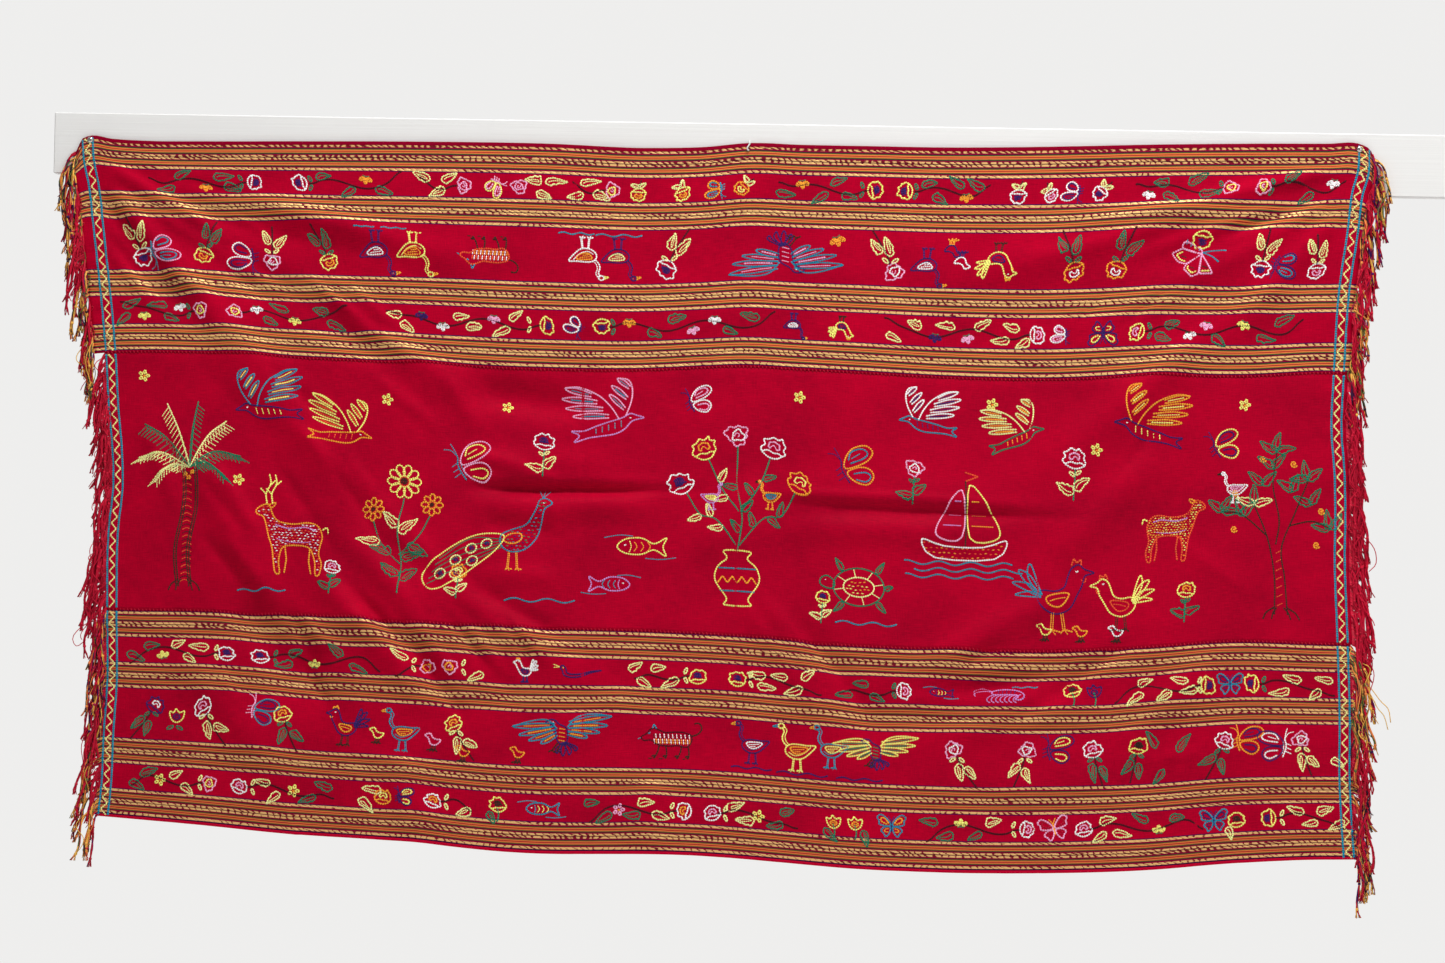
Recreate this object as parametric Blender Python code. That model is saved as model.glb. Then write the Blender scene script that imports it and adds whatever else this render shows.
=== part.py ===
# A story cloth of three woven panels, pinned to a white wall rail, with a knotted fringe at both ends.
# Metres, +Z up, +X to the right, +Y into the wall. The origin is the middle of the rail's back face.

from collections import namedtuple
from math import pi

import bmesh
import bpy
import numpy as np
from mathutils import Matrix, Vector
from mathutils.bvhtree import BVHTree

# The rail is a planed 94 x 20 mm board, which also sets the scale of everything else.
RAIL_LENGTH = 2.164
RAIL_HEIGHT = 0.094
RAIL_DEPTH = 0.020
RAIL_EASED_EDGE = 0.0015

FIT_GAP = 0.0003
SHEET_THICKNESS = 0.002
RAIL_CLEARANCE = 0.0025
WALL_CLEARANCE = 0.0045
CONTACT_SOFTNESS = 0.003
COLUMNS = 60

# Above the first height the cloth is held off by the rail. Below the second it may fall back to the wall.
HELD_OFF_ABOVE = -0.065
FREE_BELOW = -0.125

# The flat cloth between the two outer border lines, and the flat height of each panel.
FLAT_WIDTH = 1.940
UPPER_HEIGHT = 0.345
MIDDLE_HEIGHT = 0.410
LOWER_HEIGHT = 0.342

Panel = namedtuple("Panel", "name top height rows left_margin right_margin colour")
PANELS = (
    Panel("upper_panel", 0.0, UPPER_HEIGHT, 11, 0.021, 0.011, (0.46, 0.07, 0.04)),
    Panel("middle_panel", UPPER_HEIGHT, MIDDLE_HEIGHT, 13, 0.003, 0.008, (0.46, 0.004, 0.03)),
    Panel("lower_panel", UPPER_HEIGHT + MIDDLE_HEIGHT, LOWER_HEIGHT, 11, 0.003, 0.005, (0.42, 0.06, 0.04)),
)

# Where the outer border lines hang: flat distance below the top edge, then x of the left and right line.
Side = namedtuple("Side", "down left right")
SIDES = (
    Side(0.000, -1.0365, 0.9210),
    Side(0.040, -1.0325, 0.9200),
    Side(0.075, -1.0250, 0.9120),
    Side(0.130, -1.0180, 0.9070),
    Side(0.215, -1.0065, 0.8965),
    Side(0.345, -0.9915, 0.8910),
    Side(0.430, -0.9850, 0.8895),
    Side(0.500, -0.9780, 0.8960),
    Side(0.560, -0.9755, 0.8985),
    Side(0.620, -0.9808, 0.8990),
    Side(0.755, -0.9810, 0.9065),
    Side(0.870, -0.9785, 0.9120),
    Side(0.970, -0.9830, 0.9140),
    Side(1.045, -0.9850, 0.9190),
    Side(1.097, -0.9893, 0.9235),
)

# Heights of the top edge, the two seams and the bottom edge along the cloth. The top edge peaks at the pins.
Edge = namedtuple("Edge", "x top upper_seam lower_seam bottom")
EDGES = (
    Edge(-1.060, -0.0080, -0.3270, -0.7160, -1.0335),
    Edge(-1.024, 0.0110, -0.3255, -0.7160, -1.0340),
    Edge(-0.990, 0.0070, -0.3220, -0.7163, -1.0356),
    Edge(-0.930, 0.0045, -0.3195, -0.7160, -1.0385),
    Edge(-0.850, 0.0052, -0.3190, -0.7145, -1.0415),
    Edge(-0.700, 0.0078, -0.3240, -0.7150, -1.0490),
    Edge(-0.520, 0.0103, -0.3280, -0.7220, -1.0540),
    Edge(-0.320, 0.0106, -0.3335, -0.7265, -1.0665),
    Edge(-0.160, 0.0065, -0.3315, -0.7265, -1.0640),
    Edge(-0.075, 0.0098, -0.3260, -0.7280, -1.0633),
    Edge(-0.010, 0.0168, -0.3225, -0.7300, -1.0657),
    Edge(0.070, 0.0155, -0.3250, -0.7350, -1.0700),
    Edge(0.160, 0.0152, -0.3280, -0.7400, -1.0750),
    Edge(0.300, 0.0152, -0.3330, -0.7420, -1.0768),
    Edge(0.450, 0.0190, -0.3330, -0.7410, -1.0735),
    Edge(0.600, 0.0247, -0.3240, -0.7310, -1.0655),
    Edge(0.750, 0.0287, -0.3210, -0.7180, -1.0500),
    Edge(0.860, 0.0305, -0.3135, -0.7190, -1.0425),
    Edge(0.905, 0.0312, -0.3130, -0.7192, -1.0410),
    Edge(0.935, 0.0170, -0.3125, -0.7195, -1.0400),
)

# How far the cloth stands off the wall along each of those four lines and half way down the middle panel.
StandOff = namedtuple("StandOff", "x top upper_seam middle lower_seam bottom")
STAND_OFFS = (
    StandOff(-1.050, 0.022, 0.021, 0.018, 0.016, 0.012),
    StandOff(-0.960, 0.022, 0.026, 0.024, 0.022, 0.015),
    StandOff(-0.820, 0.023, 0.029, 0.034, 0.030, 0.031),
    StandOff(-0.640, 0.024, 0.030, 0.038, 0.044, 0.052),
    StandOff(-0.420, 0.025, 0.028, 0.034, 0.045, 0.056),
    StandOff(-0.180, 0.026, 0.026, 0.029, 0.036, 0.048),
    StandOff(-0.010, 0.022, 0.026, 0.027, 0.031, 0.041),
    StandOff(0.180, 0.024, 0.028, 0.031, 0.035, 0.043),
    StandOff(0.400, 0.025, 0.029, 0.033, 0.039, 0.045),
    StandOff(0.600, 0.024, 0.030, 0.029, 0.033, 0.038),
    StandOff(0.780, 0.023, 0.027, 0.024, 0.026, 0.030),
    StandOff(0.940, 0.022, 0.021, 0.019, 0.020, 0.021),
)

# Main folds, each a soft ridge from one point to another. A negative height is a trough.
# A fold swells in over the first span of its length and dies away over the second, as shares of that length.
FOLD_SWELLS_IN = (-0.12, 0.25)
FOLD_DIES_AWAY = (0.70, 1.15)
Fold = namedtuple("Fold", "x0 z0 x1 z1 start_width end_width height")
FOLDS = (
    Fold(-1.008, -0.012, -0.625, -0.104, 0.010, 0.026, 0.007),
    Fold(-1.008, -0.026, -0.778, -0.199, 0.010, 0.026, 0.009),
    Fold(-1.006, -0.045, -0.655, -0.445, 0.012, 0.036, 0.013),
    Fold(-1.009, -0.080, -0.822, -0.307, 0.010, 0.024, -0.007),
    Fold(-0.900, -0.078, -0.560, -0.205, 0.016, 0.026, -0.007),
    Fold(-0.773, -0.084, -0.431, -0.172, 0.018, 0.026, 0.007),
    Fold(-0.800, -0.170, -0.520, -0.330, 0.018, 0.030, -0.007),
    Fold(-0.645, -0.234, -0.426, -0.382, 0.020, 0.030, 0.008),
    Fold(-0.430, -0.365, -0.242, -0.390, 0.026, 0.026, -0.011),
    Fold(-0.411, -0.474, -0.209, -0.478, 0.022, 0.020, 0.009),
    Fold(-0.423, -0.515, -0.147, -0.511, 0.014, 0.014, -0.010),
    Fold(-0.407, -0.548, -0.147, -0.536, 0.022, 0.020, 0.008),
    Fold(-0.865, -0.440, -0.700, -0.720, 0.028, 0.036, 0.014),
    Fold(-0.790, -0.680, -0.625, -0.862, 0.030, 0.040, -0.018),
    Fold(-0.658, -0.650, -0.461, -0.841, 0.022, 0.028, 0.012),
    Fold(-0.600, -0.680, -0.440, -0.850, 0.016, 0.020, -0.008),
    Fold(-0.605, -0.600, -0.361, -0.815, 0.020, 0.028, 0.010),
    Fold(-0.500, -0.690, -0.320, -0.850, 0.018, 0.024, -0.007),
    Fold(-0.480, -0.660, -0.250, -0.790, 0.018, 0.026, 0.008),
    Fold(-0.850, -0.800, -0.690, -0.965, 0.028, 0.036, 0.010),
    Fold(0.020, -0.500, 0.420, -0.508, 0.020, 0.020, 0.008),
    Fold(0.060, -0.532, 0.455, -0.535, 0.014, 0.014, -0.009),
    Fold(0.060, -0.568, 0.390, -0.568, 0.022, 0.022, 0.007),
    Fold(-0.061, -0.617, 0.020, -0.494, 0.022, 0.020, 0.007),
    Fold(0.016, -0.676, 0.150, -0.870, 0.020, 0.026, 0.009),
    Fold(0.071, -0.705, 0.226, -0.882, 0.020, 0.028, -0.009),
    Fold(0.270, -0.770, 0.484, -0.655, 0.024, 0.024, 0.009),
    Fold(0.280, -0.819, 0.505, -0.760, 0.022, 0.022, -0.009),
    Fold(0.300, -0.872, 0.530, -0.822, 0.024, 0.024, 0.008),
    Fold(0.474, -0.600, 0.620, -0.440, 0.026, 0.030, 0.009),
    Fold(0.560, -0.894, 0.720, -0.740, 0.024, 0.026, 0.008),
    Fold(0.884, -0.004, 0.500, -0.115, 0.010, 0.026, 0.007),
    Fold(0.885, -0.014, 0.307, -0.185, 0.010, 0.028, 0.008),
    Fold(0.885, -0.030, 0.640, -0.170, 0.010, 0.022, -0.006),
    Fold(0.885, -0.042, 0.570, -0.222, 0.012, 0.028, 0.008),
    Fold(0.881, -0.070, 0.713, -0.270, 0.012, 0.026, 0.007),
    Fold(0.700, -0.250, 0.440, -0.480, 0.026, 0.034, 0.009),
    Fold(-0.275, -0.904, -0.155, -0.817, 0.026, 0.026, 0.006),
    Fold(0.393, -0.960, 0.572, -0.925, 0.024, 0.024, 0.006),
    Fold(-0.520, -0.930, -0.470, -1.060, 0.030, 0.036, 0.009),
    Fold(-0.130, -0.950, -0.150, -1.065, 0.030, 0.034, 0.008),
)

# The pins: a domed tack near each top corner, and a small bent hook at the middle.
TACK_HEAD_RADIUS = 0.0046
TACK_HEAD_HEIGHT = 0.0024
TACK_SHANK_RADIUS = 0.0008
TACK_REACH = 0.0150
TACK_POINT = 0.0030
TACK_SIDES = 12
# The head's dome, as shares of its radius and of its height behind the crown.
TACK_DOME = ((0.0, 0.0), (0.50, 0.14), (0.86, 0.50), (1.0, 0.88))
PIN_HOLE_RADIUS = 0.0011
PIN_HOLE_DEPTH = 0.0160
LEFT_TACK = (-1.0240, 0.0045)
RIGHT_TACK = (0.9060, 0.0230)

HOOK_WIRE_RADIUS = 0.0012
HOOK_HOLE_RADIUS = 0.0016
HOOK_HOLE_DEPTH = 0.0130
HOOK_REACH = 0.0120
HOOK_BOW = 0.0036
HOOK_TOP = (-0.0085, 0.0195)
HOOK_TIP = (-0.0100, 0.0060)
# The wire's bends from the top hole to the lower one: x, distance behind the wire's foremost line, and z.
HOOK_BENDS = (
    (-0.0085, 0.0020, 0.0190),
    (-0.0079, 0.0002, 0.0165),
    (-0.0093, 0.0000, 0.0130),
    (-0.0116, 0.0000, 0.0095),
    (-0.0112, 0.0006, 0.0068),
    (-0.0100, 0.0024, 0.0060),
)

# Cutters start in front of every fold, and those for the cloth alone end just short of the rail.
CUTTER_START = -0.060
SHORT_OF_RAIL = 0.0012

# The fringe: locks on a narrow heading strip beside each end of each panel.
STRIP_WIDTH = 0.006
LOCKS_PER_ROW = 2
LOCK_DROP = 0.086
LOCK_CURL = 1.2
LOCK_SHORTENING = 0.10
LOCK_STEPS = 3
LOCK_ROOT_WIDTH = 0.0062
LOCK_TIP_WIDTH = 0.0026
LOCK_DEPTH = 0.0026
LOCK_LAYERS = (0.0, -0.0068, -0.0034, -0.0102)
Fringe = namedtuple("Fringe", "panel side reach colour")
FRINGES = (
    Fringe(0, "left", 0.020, (0.40, 0.09, 0.04)),
    Fringe(1, "left", 0.027, (0.44, 0.006, 0.03)),
    Fringe(2, "left", 0.030, (0.40, 0.07, 0.04)),
    Fringe(0, "right", 0.030, (0.40, 0.09, 0.04)),
    Fringe(1, "right", 0.028, (0.44, 0.006, 0.03)),
    Fringe(2, "right", 0.028, (0.40, 0.07, 0.04)),
)


def clear_scene():
    for item in list(bpy.data.objects):
        bpy.data.objects.remove(item)


def plain_material(name, colour, roughness, metallic=0.0):
    material = bpy.data.materials.new(name)
    material.use_nodes = True
    shader = material.node_tree.nodes["Principled BSDF"]
    shader.inputs["Base Color"].default_value = (*colour, 1.0)
    shader.inputs["Roughness"].default_value = roughness
    shader.inputs["Metallic"].default_value = metallic
    return material


def object_from_bmesh(name, shape, material):
    bmesh.ops.recalc_face_normals(shape, faces=shape.faces)
    mesh = bpy.data.meshes.new(name)
    shape.to_mesh(mesh)
    shape.free()
    mesh.materials.append(material)
    item = bpy.data.objects.new(name, mesh)
    bpy.context.collection.objects.link(item)
    return item


def column(rows, field):
    return np.array([getattr(row, field) for row in rows])


def through(x, knots, values):
    """A smooth curve through the knots, as Hermite pieces whose slopes come from the neighbouring knots."""
    slopes = np.gradient(values, knots)
    x = np.clip(x, knots[0], knots[-1])
    at = np.clip(np.searchsorted(knots, x) - 1, 0, len(knots) - 2)
    span = knots[at + 1] - knots[at]
    f = (x - knots[at]) / span
    rise = values[at] * (1 + 2 * f) * (1 - f) ** 2 + values[at + 1] * f * f * (3 - 2 * f)
    return rise + span * (slopes[at] * f * (1 - f) ** 2 - slopes[at + 1] * f * f * (1 - f))


def smooth_step(value, start, end):
    f = np.clip((value - start) / (end - start), 0.0, 1.0)
    return f * f * (3 - 2 * f)


def fold_heights(x, z):
    """All folds added up: each is a bell across its line, which swells in and dies away along it."""
    total = np.zeros_like(x)
    for fold in FOLDS:
        run = np.array([fold.x1 - fold.x0, fold.z1 - fold.z0])
        length = np.hypot(*run)
        along = ((x - fold.x0) * run[0] + (z - fold.z0) * run[1]) / length**2
        across = ((z - fold.z0) * run[0] - (x - fold.x0) * run[1]) / length
        width = fold.start_width + (fold.end_width - fold.start_width) * np.clip(along, 0.0, 1.0)
        swell = smooth_step(along, *FOLD_SWELLS_IN) * (1.0 - smooth_step(along, *FOLD_DIES_AWAY))
        total += fold.height * swell * np.exp(-((across / width) ** 2))
    return total


def cloth_point(sideways, down):
    """Where a point of the flat cloth hangs. Both inputs are arrays: the flat distance from the left
    border line and from the top edge. Between the edges and seams the height goes evenly."""
    sideways, down = np.broadcast_arrays(np.asarray(sideways, float), np.asarray(down, float))
    left = through(down, column(SIDES, "down"), column(SIDES, "left"))
    right = through(down, column(SIDES, "down"), column(SIDES, "right"))
    x = left + (right - left) * sideways / FLAT_WIDTH
    stations = column(EDGES, "x")
    lines = [through(x, stations, column(EDGES, name)) for name in Edge._fields[1:]]
    seams = np.cumsum([0.0, UPPER_HEIGHT, MIDDLE_HEIGHT, LOWER_HEIGHT])
    z = np.zeros_like(x)
    for i in range(3):
        share = (down - seams[i]) / (seams[i + 1] - seams[i])
        z = np.where(down >= seams[i], lines[i] + (lines[i + 1] - lines[i]) * share, z)
    off_stations = column(STAND_OFFS, "x")
    offs = [through(x, off_stations, column(STAND_OFFS, name)) for name in StandOff._fields[1:]]
    levels = np.array([0.0, UPPER_HEIGHT, UPPER_HEIGHT + MIDDLE_HEIGHT / 2, seams[2], seams[3]])
    stand_off = np.zeros_like(x)
    for i in range(4):
        share = np.clip((down - levels[i]) / (levels[i + 1] - levels[i]), 0.0, 1.0)
        stand_off = np.where(down >= levels[i], offs[i] + (offs[i + 1] - offs[i]) * share, stand_off)
    stand_off = stand_off + fold_heights(x, z)
    over_rail = RAIL_DEPTH + RAIL_CLEARANCE + SHEET_THICKNESS / 2
    least = WALL_CLEARANCE + (over_rail - WALL_CLEARANCE) * smooth_step(z, FREE_BELOW, HELD_OFF_ABOVE)
    spare = stand_off - least
    stand_off = least + (spare + np.sqrt(spare**2 + CONTACT_SOFTNESS**2)) / 2
    return np.stack([x, -stand_off, z], axis=-1)


def panel_points(panel, sideways):
    down = np.linspace(panel.top, panel.top + panel.height, panel.rows + 1)
    points = cloth_point(sideways[None, :], down[:, None])
    if panel is not PANELS[0]:
        points[0, :, 2] -= FIT_GAP
    return points


def sheet(name, points, material):
    """A closed slab whose front and back lie half a thickness before and behind the points."""
    rows, columns = points.shape[:2]
    half = np.array([0.0, SHEET_THICKNESS / 2, 0.0])
    shape = bmesh.new()
    front = [[shape.verts.new(p) for p in line] for line in points - half]
    back = [[shape.verts.new(p) for p in line] for line in points + half]
    for i in range(rows - 1):
        for j in range(columns - 1):
            shape.faces.new((front[i][j], front[i + 1][j], front[i + 1][j + 1], front[i][j + 1]))
            shape.faces.new((back[i][j], back[i][j + 1], back[i + 1][j + 1], back[i + 1][j]))
    for i in range(rows - 1):
        for j in (0, columns - 1):
            shape.faces.new((front[i][j], back[i][j], back[i + 1][j], front[i + 1][j]))
    for j in range(columns - 1):
        for i in (0, rows - 1):
            shape.faces.new((front[i][j], front[i][j + 1], back[i][j + 1], back[i][j]))
    bmesh.ops.triangulate(shape, faces=shape.faces)
    bmesh.ops.recalc_face_normals(shape, faces=shape.faces)
    surface = BVHTree.FromBMesh(shape)
    return object_from_bmesh(name, shape, material), surface


def front_of(surface, x, z, radius):
    """The foremost y of a sheet's front at a point and at eight places on a circle round it."""
    found = []
    places = [(x, z)]
    for angle in np.arange(0.0, 2 * pi, pi / 4):
        places.append((x + radius * np.cos(angle), z + radius * np.sin(angle)))
    for place in places:
        hit = surface.ray_cast(Vector((place[0], -1.0, place[1])), Vector((0.0, 1.0, 0.0)))[0]
        if hit is not None:
            found.append(hit.y)
    return min(found)


def turned(name, profile, place, sides, material):
    """A turned solid: the profile's (radius, y) pairs spun round the Y direction through place."""
    shape = bmesh.new()
    edge = [shape.verts.new((place[0] + radius, y, place[1])) for radius, y in profile]
    lines = [shape.edges.new(pair) for pair in zip(edge, edge[1:])]
    centre = (place[0], 0.0, place[1])
    bmesh.ops.spin(shape, geom=edge + lines, cent=centre, axis=(0, 1, 0), angle=2 * pi, steps=sides)
    bmesh.ops.remove_doubles(shape, verts=shape.verts, dist=0.00001)
    return object_from_bmesh(name, shape, material)


def bore_cutter(name, radius, place, y_start, y_end):
    shape = bmesh.new()
    bmesh.ops.create_cone(
        shape, cap_ends=True, segments=TACK_SIDES, radius1=radius, radius2=radius, depth=y_end - y_start
    )
    bmesh.ops.rotate(shape, verts=shape.verts, cent=(0, 0, 0), matrix=Matrix.Rotation(pi / 2, 3, "X"))
    middle = Vector((place[0], (y_start + y_end) / 2, place[1]))
    bmesh.ops.translate(shape, verts=shape.verts, vec=middle)
    cutter = object_from_bmesh(name, shape, plain_material(name, (0.5, 0.5, 0.5), 0.5))
    cutter.hide_render = True
    cutter.display_type = "WIRE"
    return cutter


def cut(item, cutter):
    boolean = item.modifiers.new(cutter.name, "BOOLEAN")
    boolean.operation = "DIFFERENCE"
    boolean.solver = "EXACT"
    boolean.object = cutter


def rail(material):
    shape = bmesh.new()
    bmesh.ops.create_cube(shape, size=1.0)
    bmesh.ops.scale(shape, verts=shape.verts, vec=(RAIL_LENGTH, RAIL_DEPTH, RAIL_HEIGHT))
    bmesh.ops.translate(shape, verts=shape.verts, vec=(0, -RAIL_DEPTH / 2, 0))
    eased = [edge for edge in shape.edges if min(vert.co.y for vert in edge.verts) < -RAIL_DEPTH / 2]
    bmesh.ops.bevel(shape, geom=eased, offset=RAIL_EASED_EDGE, segments=1, affect="EDGES")
    return object_from_bmesh("rail", shape, material)


def tack(name, place, surface, material):
    under = front_of(surface, place[0], place[1], TACK_HEAD_RADIUS) - FIT_GAP
    crown = under - TACK_HEAD_HEIGHT
    end = under + TACK_REACH
    dome = [(TACK_HEAD_RADIUS * out, crown + TACK_HEAD_HEIGHT * back) for out, back in TACK_DOME]
    rest = [
        (TACK_HEAD_RADIUS, under),
        (TACK_SHANK_RADIUS, under),
        (TACK_SHANK_RADIUS, end - TACK_POINT),
        (0.0, end),
    ]
    return turned(name, dome + rest, place, TACK_SIDES, material)


def hook(surface, material):
    """Bent wire: out of the rail above the cloth, down over its edge, and back in through it."""
    bow = front_of(surface, *HOOK_TIP, HOOK_WIRE_RADIUS * 2) - HOOK_BOW
    face = -RAIL_DEPTH
    start = (HOOK_TOP[0], face + HOOK_REACH, HOOK_TOP[1])
    leaving = (HOOK_TOP[0], face - HOOK_WIRE_RADIUS * 2, HOOK_TOP[1])
    end = (HOOK_TIP[0], face - HOOK_WIRE_RADIUS * 1.5, HOOK_TIP[1])
    bends = [(x, bow + behind, z) for x, behind, z in HOOK_BENDS]
    route = [start, leaving, *bends, end]
    curve = bpy.data.curves.new("centre_hook", "CURVE")
    curve.dimensions = "3D"
    curve.bevel_depth = HOOK_WIRE_RADIUS
    curve.bevel_resolution = 2
    curve.use_fill_caps = True
    line = curve.splines.new("POLY")
    line.points.add(len(route) - 1)
    for point, place in zip(line.points, route):
        point.co = (*place, 1.0)
    curve.materials.append(material)
    item = bpy.data.objects.new("centre_hook", curve)
    bpy.context.collection.objects.link(item)
    return item


def lock_path(reach, length):
    """A lock's run from its root, outward and downward: out at first, then bending down. Its first step
    is the longest, so that the cell at its root stays open."""
    f = np.linspace(0.0, 1.0, LOCK_STEPS + 1) ** (1 / LOCK_CURL) * length
    return reach * f * (3 - f) / 2, LOCK_DROP * f**1.5


def side_depth(grids, column_index):
    """The heights down one side of the whole cloth, lowest first, and the depth at each of them."""
    edge = np.concatenate([grid[:, column_index] for grid in grids])[::-1]
    return edge[:, 2], edge[:, 1]


def fringe(spec, grids, material):
    """A heading strip beside the sheet's end, cut into cells, each of which carries one lock."""
    panel = PANELS[spec.panel]
    column_index = 0 if spec.side == "left" else -1
    outward = -1.0 if spec.side == "left" else 1.0
    edge = -panel.left_margin if spec.side == "left" else FLAT_WIDTH + panel.right_margin
    bounds = edge + outward * np.array([FIT_GAP, FIT_GAP + STRIP_WIDTH])
    strip = panel_points(panel, bounds)
    depths = side_depth(grids, column_index)
    count = LOCKS_PER_ROW * panel.rows
    half = np.array([0.0, SHEET_THICKNESS / 2, 0.0])
    shape = bmesh.new()
    rings = []
    for i in range(count + 1):
        above = min(i // LOCKS_PER_ROW, panel.rows - 1)
        share = i / LOCKS_PER_ROW - above
        inner, outer = strip[above] + (strip[above + 1] - strip[above]) * share
        corners = (inner - half, inner + half, outer + half, outer - half)
        rings.append([shape.verts.new(corner) for corner in corners])
    for upper, lower in zip(rings, rings[1:]):
        for k in (0, 1, 3):
            shape.faces.new((upper[k], upper[(k + 1) % 4], lower[(k + 1) % 4], lower[k]))
    shape.faces.new(rings[0])
    shape.faces.new(reversed(rings[-1]))
    first = LOCKS_PER_ROW * sum(other.rows for other in PANELS[: spec.panel])
    for i, (upper, lower) in enumerate(zip(rings, rings[1:])):
        add_lock(shape, first + i, upper, lower, outward, spec.reach, depths)
    return object_from_bmesh(f"{panel.name[:-6]}_{spec.side}_fringe", shape, material)


def add_lock(shape, i, upper, lower, outward, reach, depths):
    """One four-sided lock, drawn from the outer face of its strip cell, in one of four layers that
    follow the cloth's own side down, so that no two locks meet."""
    root = [upper[2], upper[3], lower[3], lower[2]]
    middle = sum((vert.co for vert in root), Vector()) / 4
    order = i % len(LOCK_LAYERS)
    out, drop = lock_path(reach, 1.0 - LOCK_SHORTENING * order / len(LOCK_LAYERS))
    previous = root
    for k in range(1, LOCK_STEPS + 1):
        share = k / LOCK_STEPS
        before = Vector((outward * out[k - 1], 0, -drop[k - 1]))
        here = Vector((outward * out[k], 0, -drop[k]))
        heading = (here - before).normalized()
        side = Vector((heading.z * -outward, 0, heading.x * outward))
        width = LOCK_ROOT_WIDTH + (LOCK_TIP_WIDTH - LOCK_ROOT_WIDTH) * share
        centre = middle + here
        centre.y = np.interp(centre.z, *depths) + LOCK_LAYERS[order]
        depth = Vector((0, LOCK_DEPTH / 2, 0))
        over = side * width / 2
        corners = (centre + over + depth, centre + over - depth, centre - over - depth, centre - over + depth)
        ring = [shape.verts.new(corner) for corner in corners]
        for a in range(4):
            shape.faces.new((previous[a], previous[(a + 1) % 4], ring[(a + 1) % 4], ring[a]))
        previous = ring
    shape.faces.new(previous)


def build():
    clear_scene()
    board = rail(plain_material("rail_paint", (0.83, 0.82, 0.80), 0.55))
    points = []
    sheets = []
    for panel in PANELS:
        sideways = np.linspace(-panel.left_margin, FLAT_WIDTH + panel.right_margin, COLUMNS + 1)
        grid = panel_points(panel, sideways)
        points.append(grid)
        sheets.append(sheet(panel.name, grid, plain_material(panel.name, panel.colour, 0.85)))
    cloth, surface = sheets[0]
    steel = plain_material("tack_steel", (0.62, 0.61, 0.60), 0.3, 1.0)
    for name, place in (("left_tack", LEFT_TACK), ("right_tack", RIGHT_TACK)):
        tack(name, place, surface, steel)
        bottom = PIN_HOLE_DEPTH - RAIL_DEPTH
        bore = bore_cutter(f"{name}_bore", PIN_HOLE_RADIUS, place, CUTTER_START, bottom)
        cut(board, bore)
        cut(cloth, bore)
    hook(surface, plain_material("hook_paint", (0.86, 0.86, 0.85), 0.4))
    before_rail = -RAIL_DEPTH - SHORT_OF_RAIL
    hole_bottom = HOOK_HOLE_DEPTH - RAIL_DEPTH
    top_bore = bore_cutter("hook_top_bore", HOOK_HOLE_RADIUS, HOOK_TOP, before_rail, hole_bottom)
    tip_bore = bore_cutter("hook_tip_bore", HOOK_HOLE_RADIUS, HOOK_TIP, CUTTER_START, before_rail)
    cut(board, top_bore)
    cut(cloth, tip_bore)
    for spec in FRINGES:
        name = f"fringe_{spec.side}_{spec.panel}"
        fringe(spec, points, plain_material(name, spec.colour, 0.9))


build()
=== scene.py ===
# A three-panel woven story cloth, pinned by its top edge to a white rail.
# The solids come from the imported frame. This script adds the cloth, its stitches, its fringe and the finishes.
import math

import bpy
import mathutils
import numpy as np
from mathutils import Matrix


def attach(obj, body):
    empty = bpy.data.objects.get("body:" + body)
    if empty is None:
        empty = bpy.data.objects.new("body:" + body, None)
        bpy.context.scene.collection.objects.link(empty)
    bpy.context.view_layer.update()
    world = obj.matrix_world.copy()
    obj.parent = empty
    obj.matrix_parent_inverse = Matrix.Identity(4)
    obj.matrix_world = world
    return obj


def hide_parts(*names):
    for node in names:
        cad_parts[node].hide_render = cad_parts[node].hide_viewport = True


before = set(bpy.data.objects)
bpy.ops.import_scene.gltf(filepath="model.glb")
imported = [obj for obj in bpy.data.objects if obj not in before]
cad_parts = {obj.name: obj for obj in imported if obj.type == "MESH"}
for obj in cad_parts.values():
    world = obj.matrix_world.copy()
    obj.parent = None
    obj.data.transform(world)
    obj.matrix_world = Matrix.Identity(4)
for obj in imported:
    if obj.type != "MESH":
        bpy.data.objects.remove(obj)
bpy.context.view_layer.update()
chance = np.random.default_rng(7)
print("frame loaded:", len(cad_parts), "nodes")

# The flat cloth, in metres: across from the left outer border line, down from the top edge.
cloth = dict(
    width=1.940,                         # between the two outer border lines
    heights=(0.345, 0.410, 0.342),       # upper, middle and lower panel
    leftMargins=(0.021, 0.003, 0.003),   # weave beyond the left border line, for each panel
    rightMargins=(0.011, 0.008, 0.005),
    thickness=0.0012,
    meshSteps=(0.0072, 0.0052),          # across and down
    seamLap=0.0016,                      # a panel's top edge lies this far behind the one above it
    lapDepth=0.0014,
    railFront=0.020,
    railClearance=0.0035,
    wallClearance=0.0045,
    softness=0.003,
    foldPull=0.35,                       # how far a fold lifts the stripes across it, as a share of its height
    cornerReach=0.045,                   # the top corners droop beyond the border lines, down to about here
    cornerPull=0.50,
    cornerFall=0.50,
    heldOffAbove=-0.065,                 # over this height the cloth lies in front of the rail
    freeBelow=-0.125,                    # under this one it may fall back to the wall
)
panelTops = np.cumsum((0.0,) + cloth["heights"])

def table(*texts, unit=0.001):
    # rows of numbers in millimetres, or in another unit, parted by commas
    return np.array([row.split() for row in ",".join(texts).split(",")], float) * unit


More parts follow.
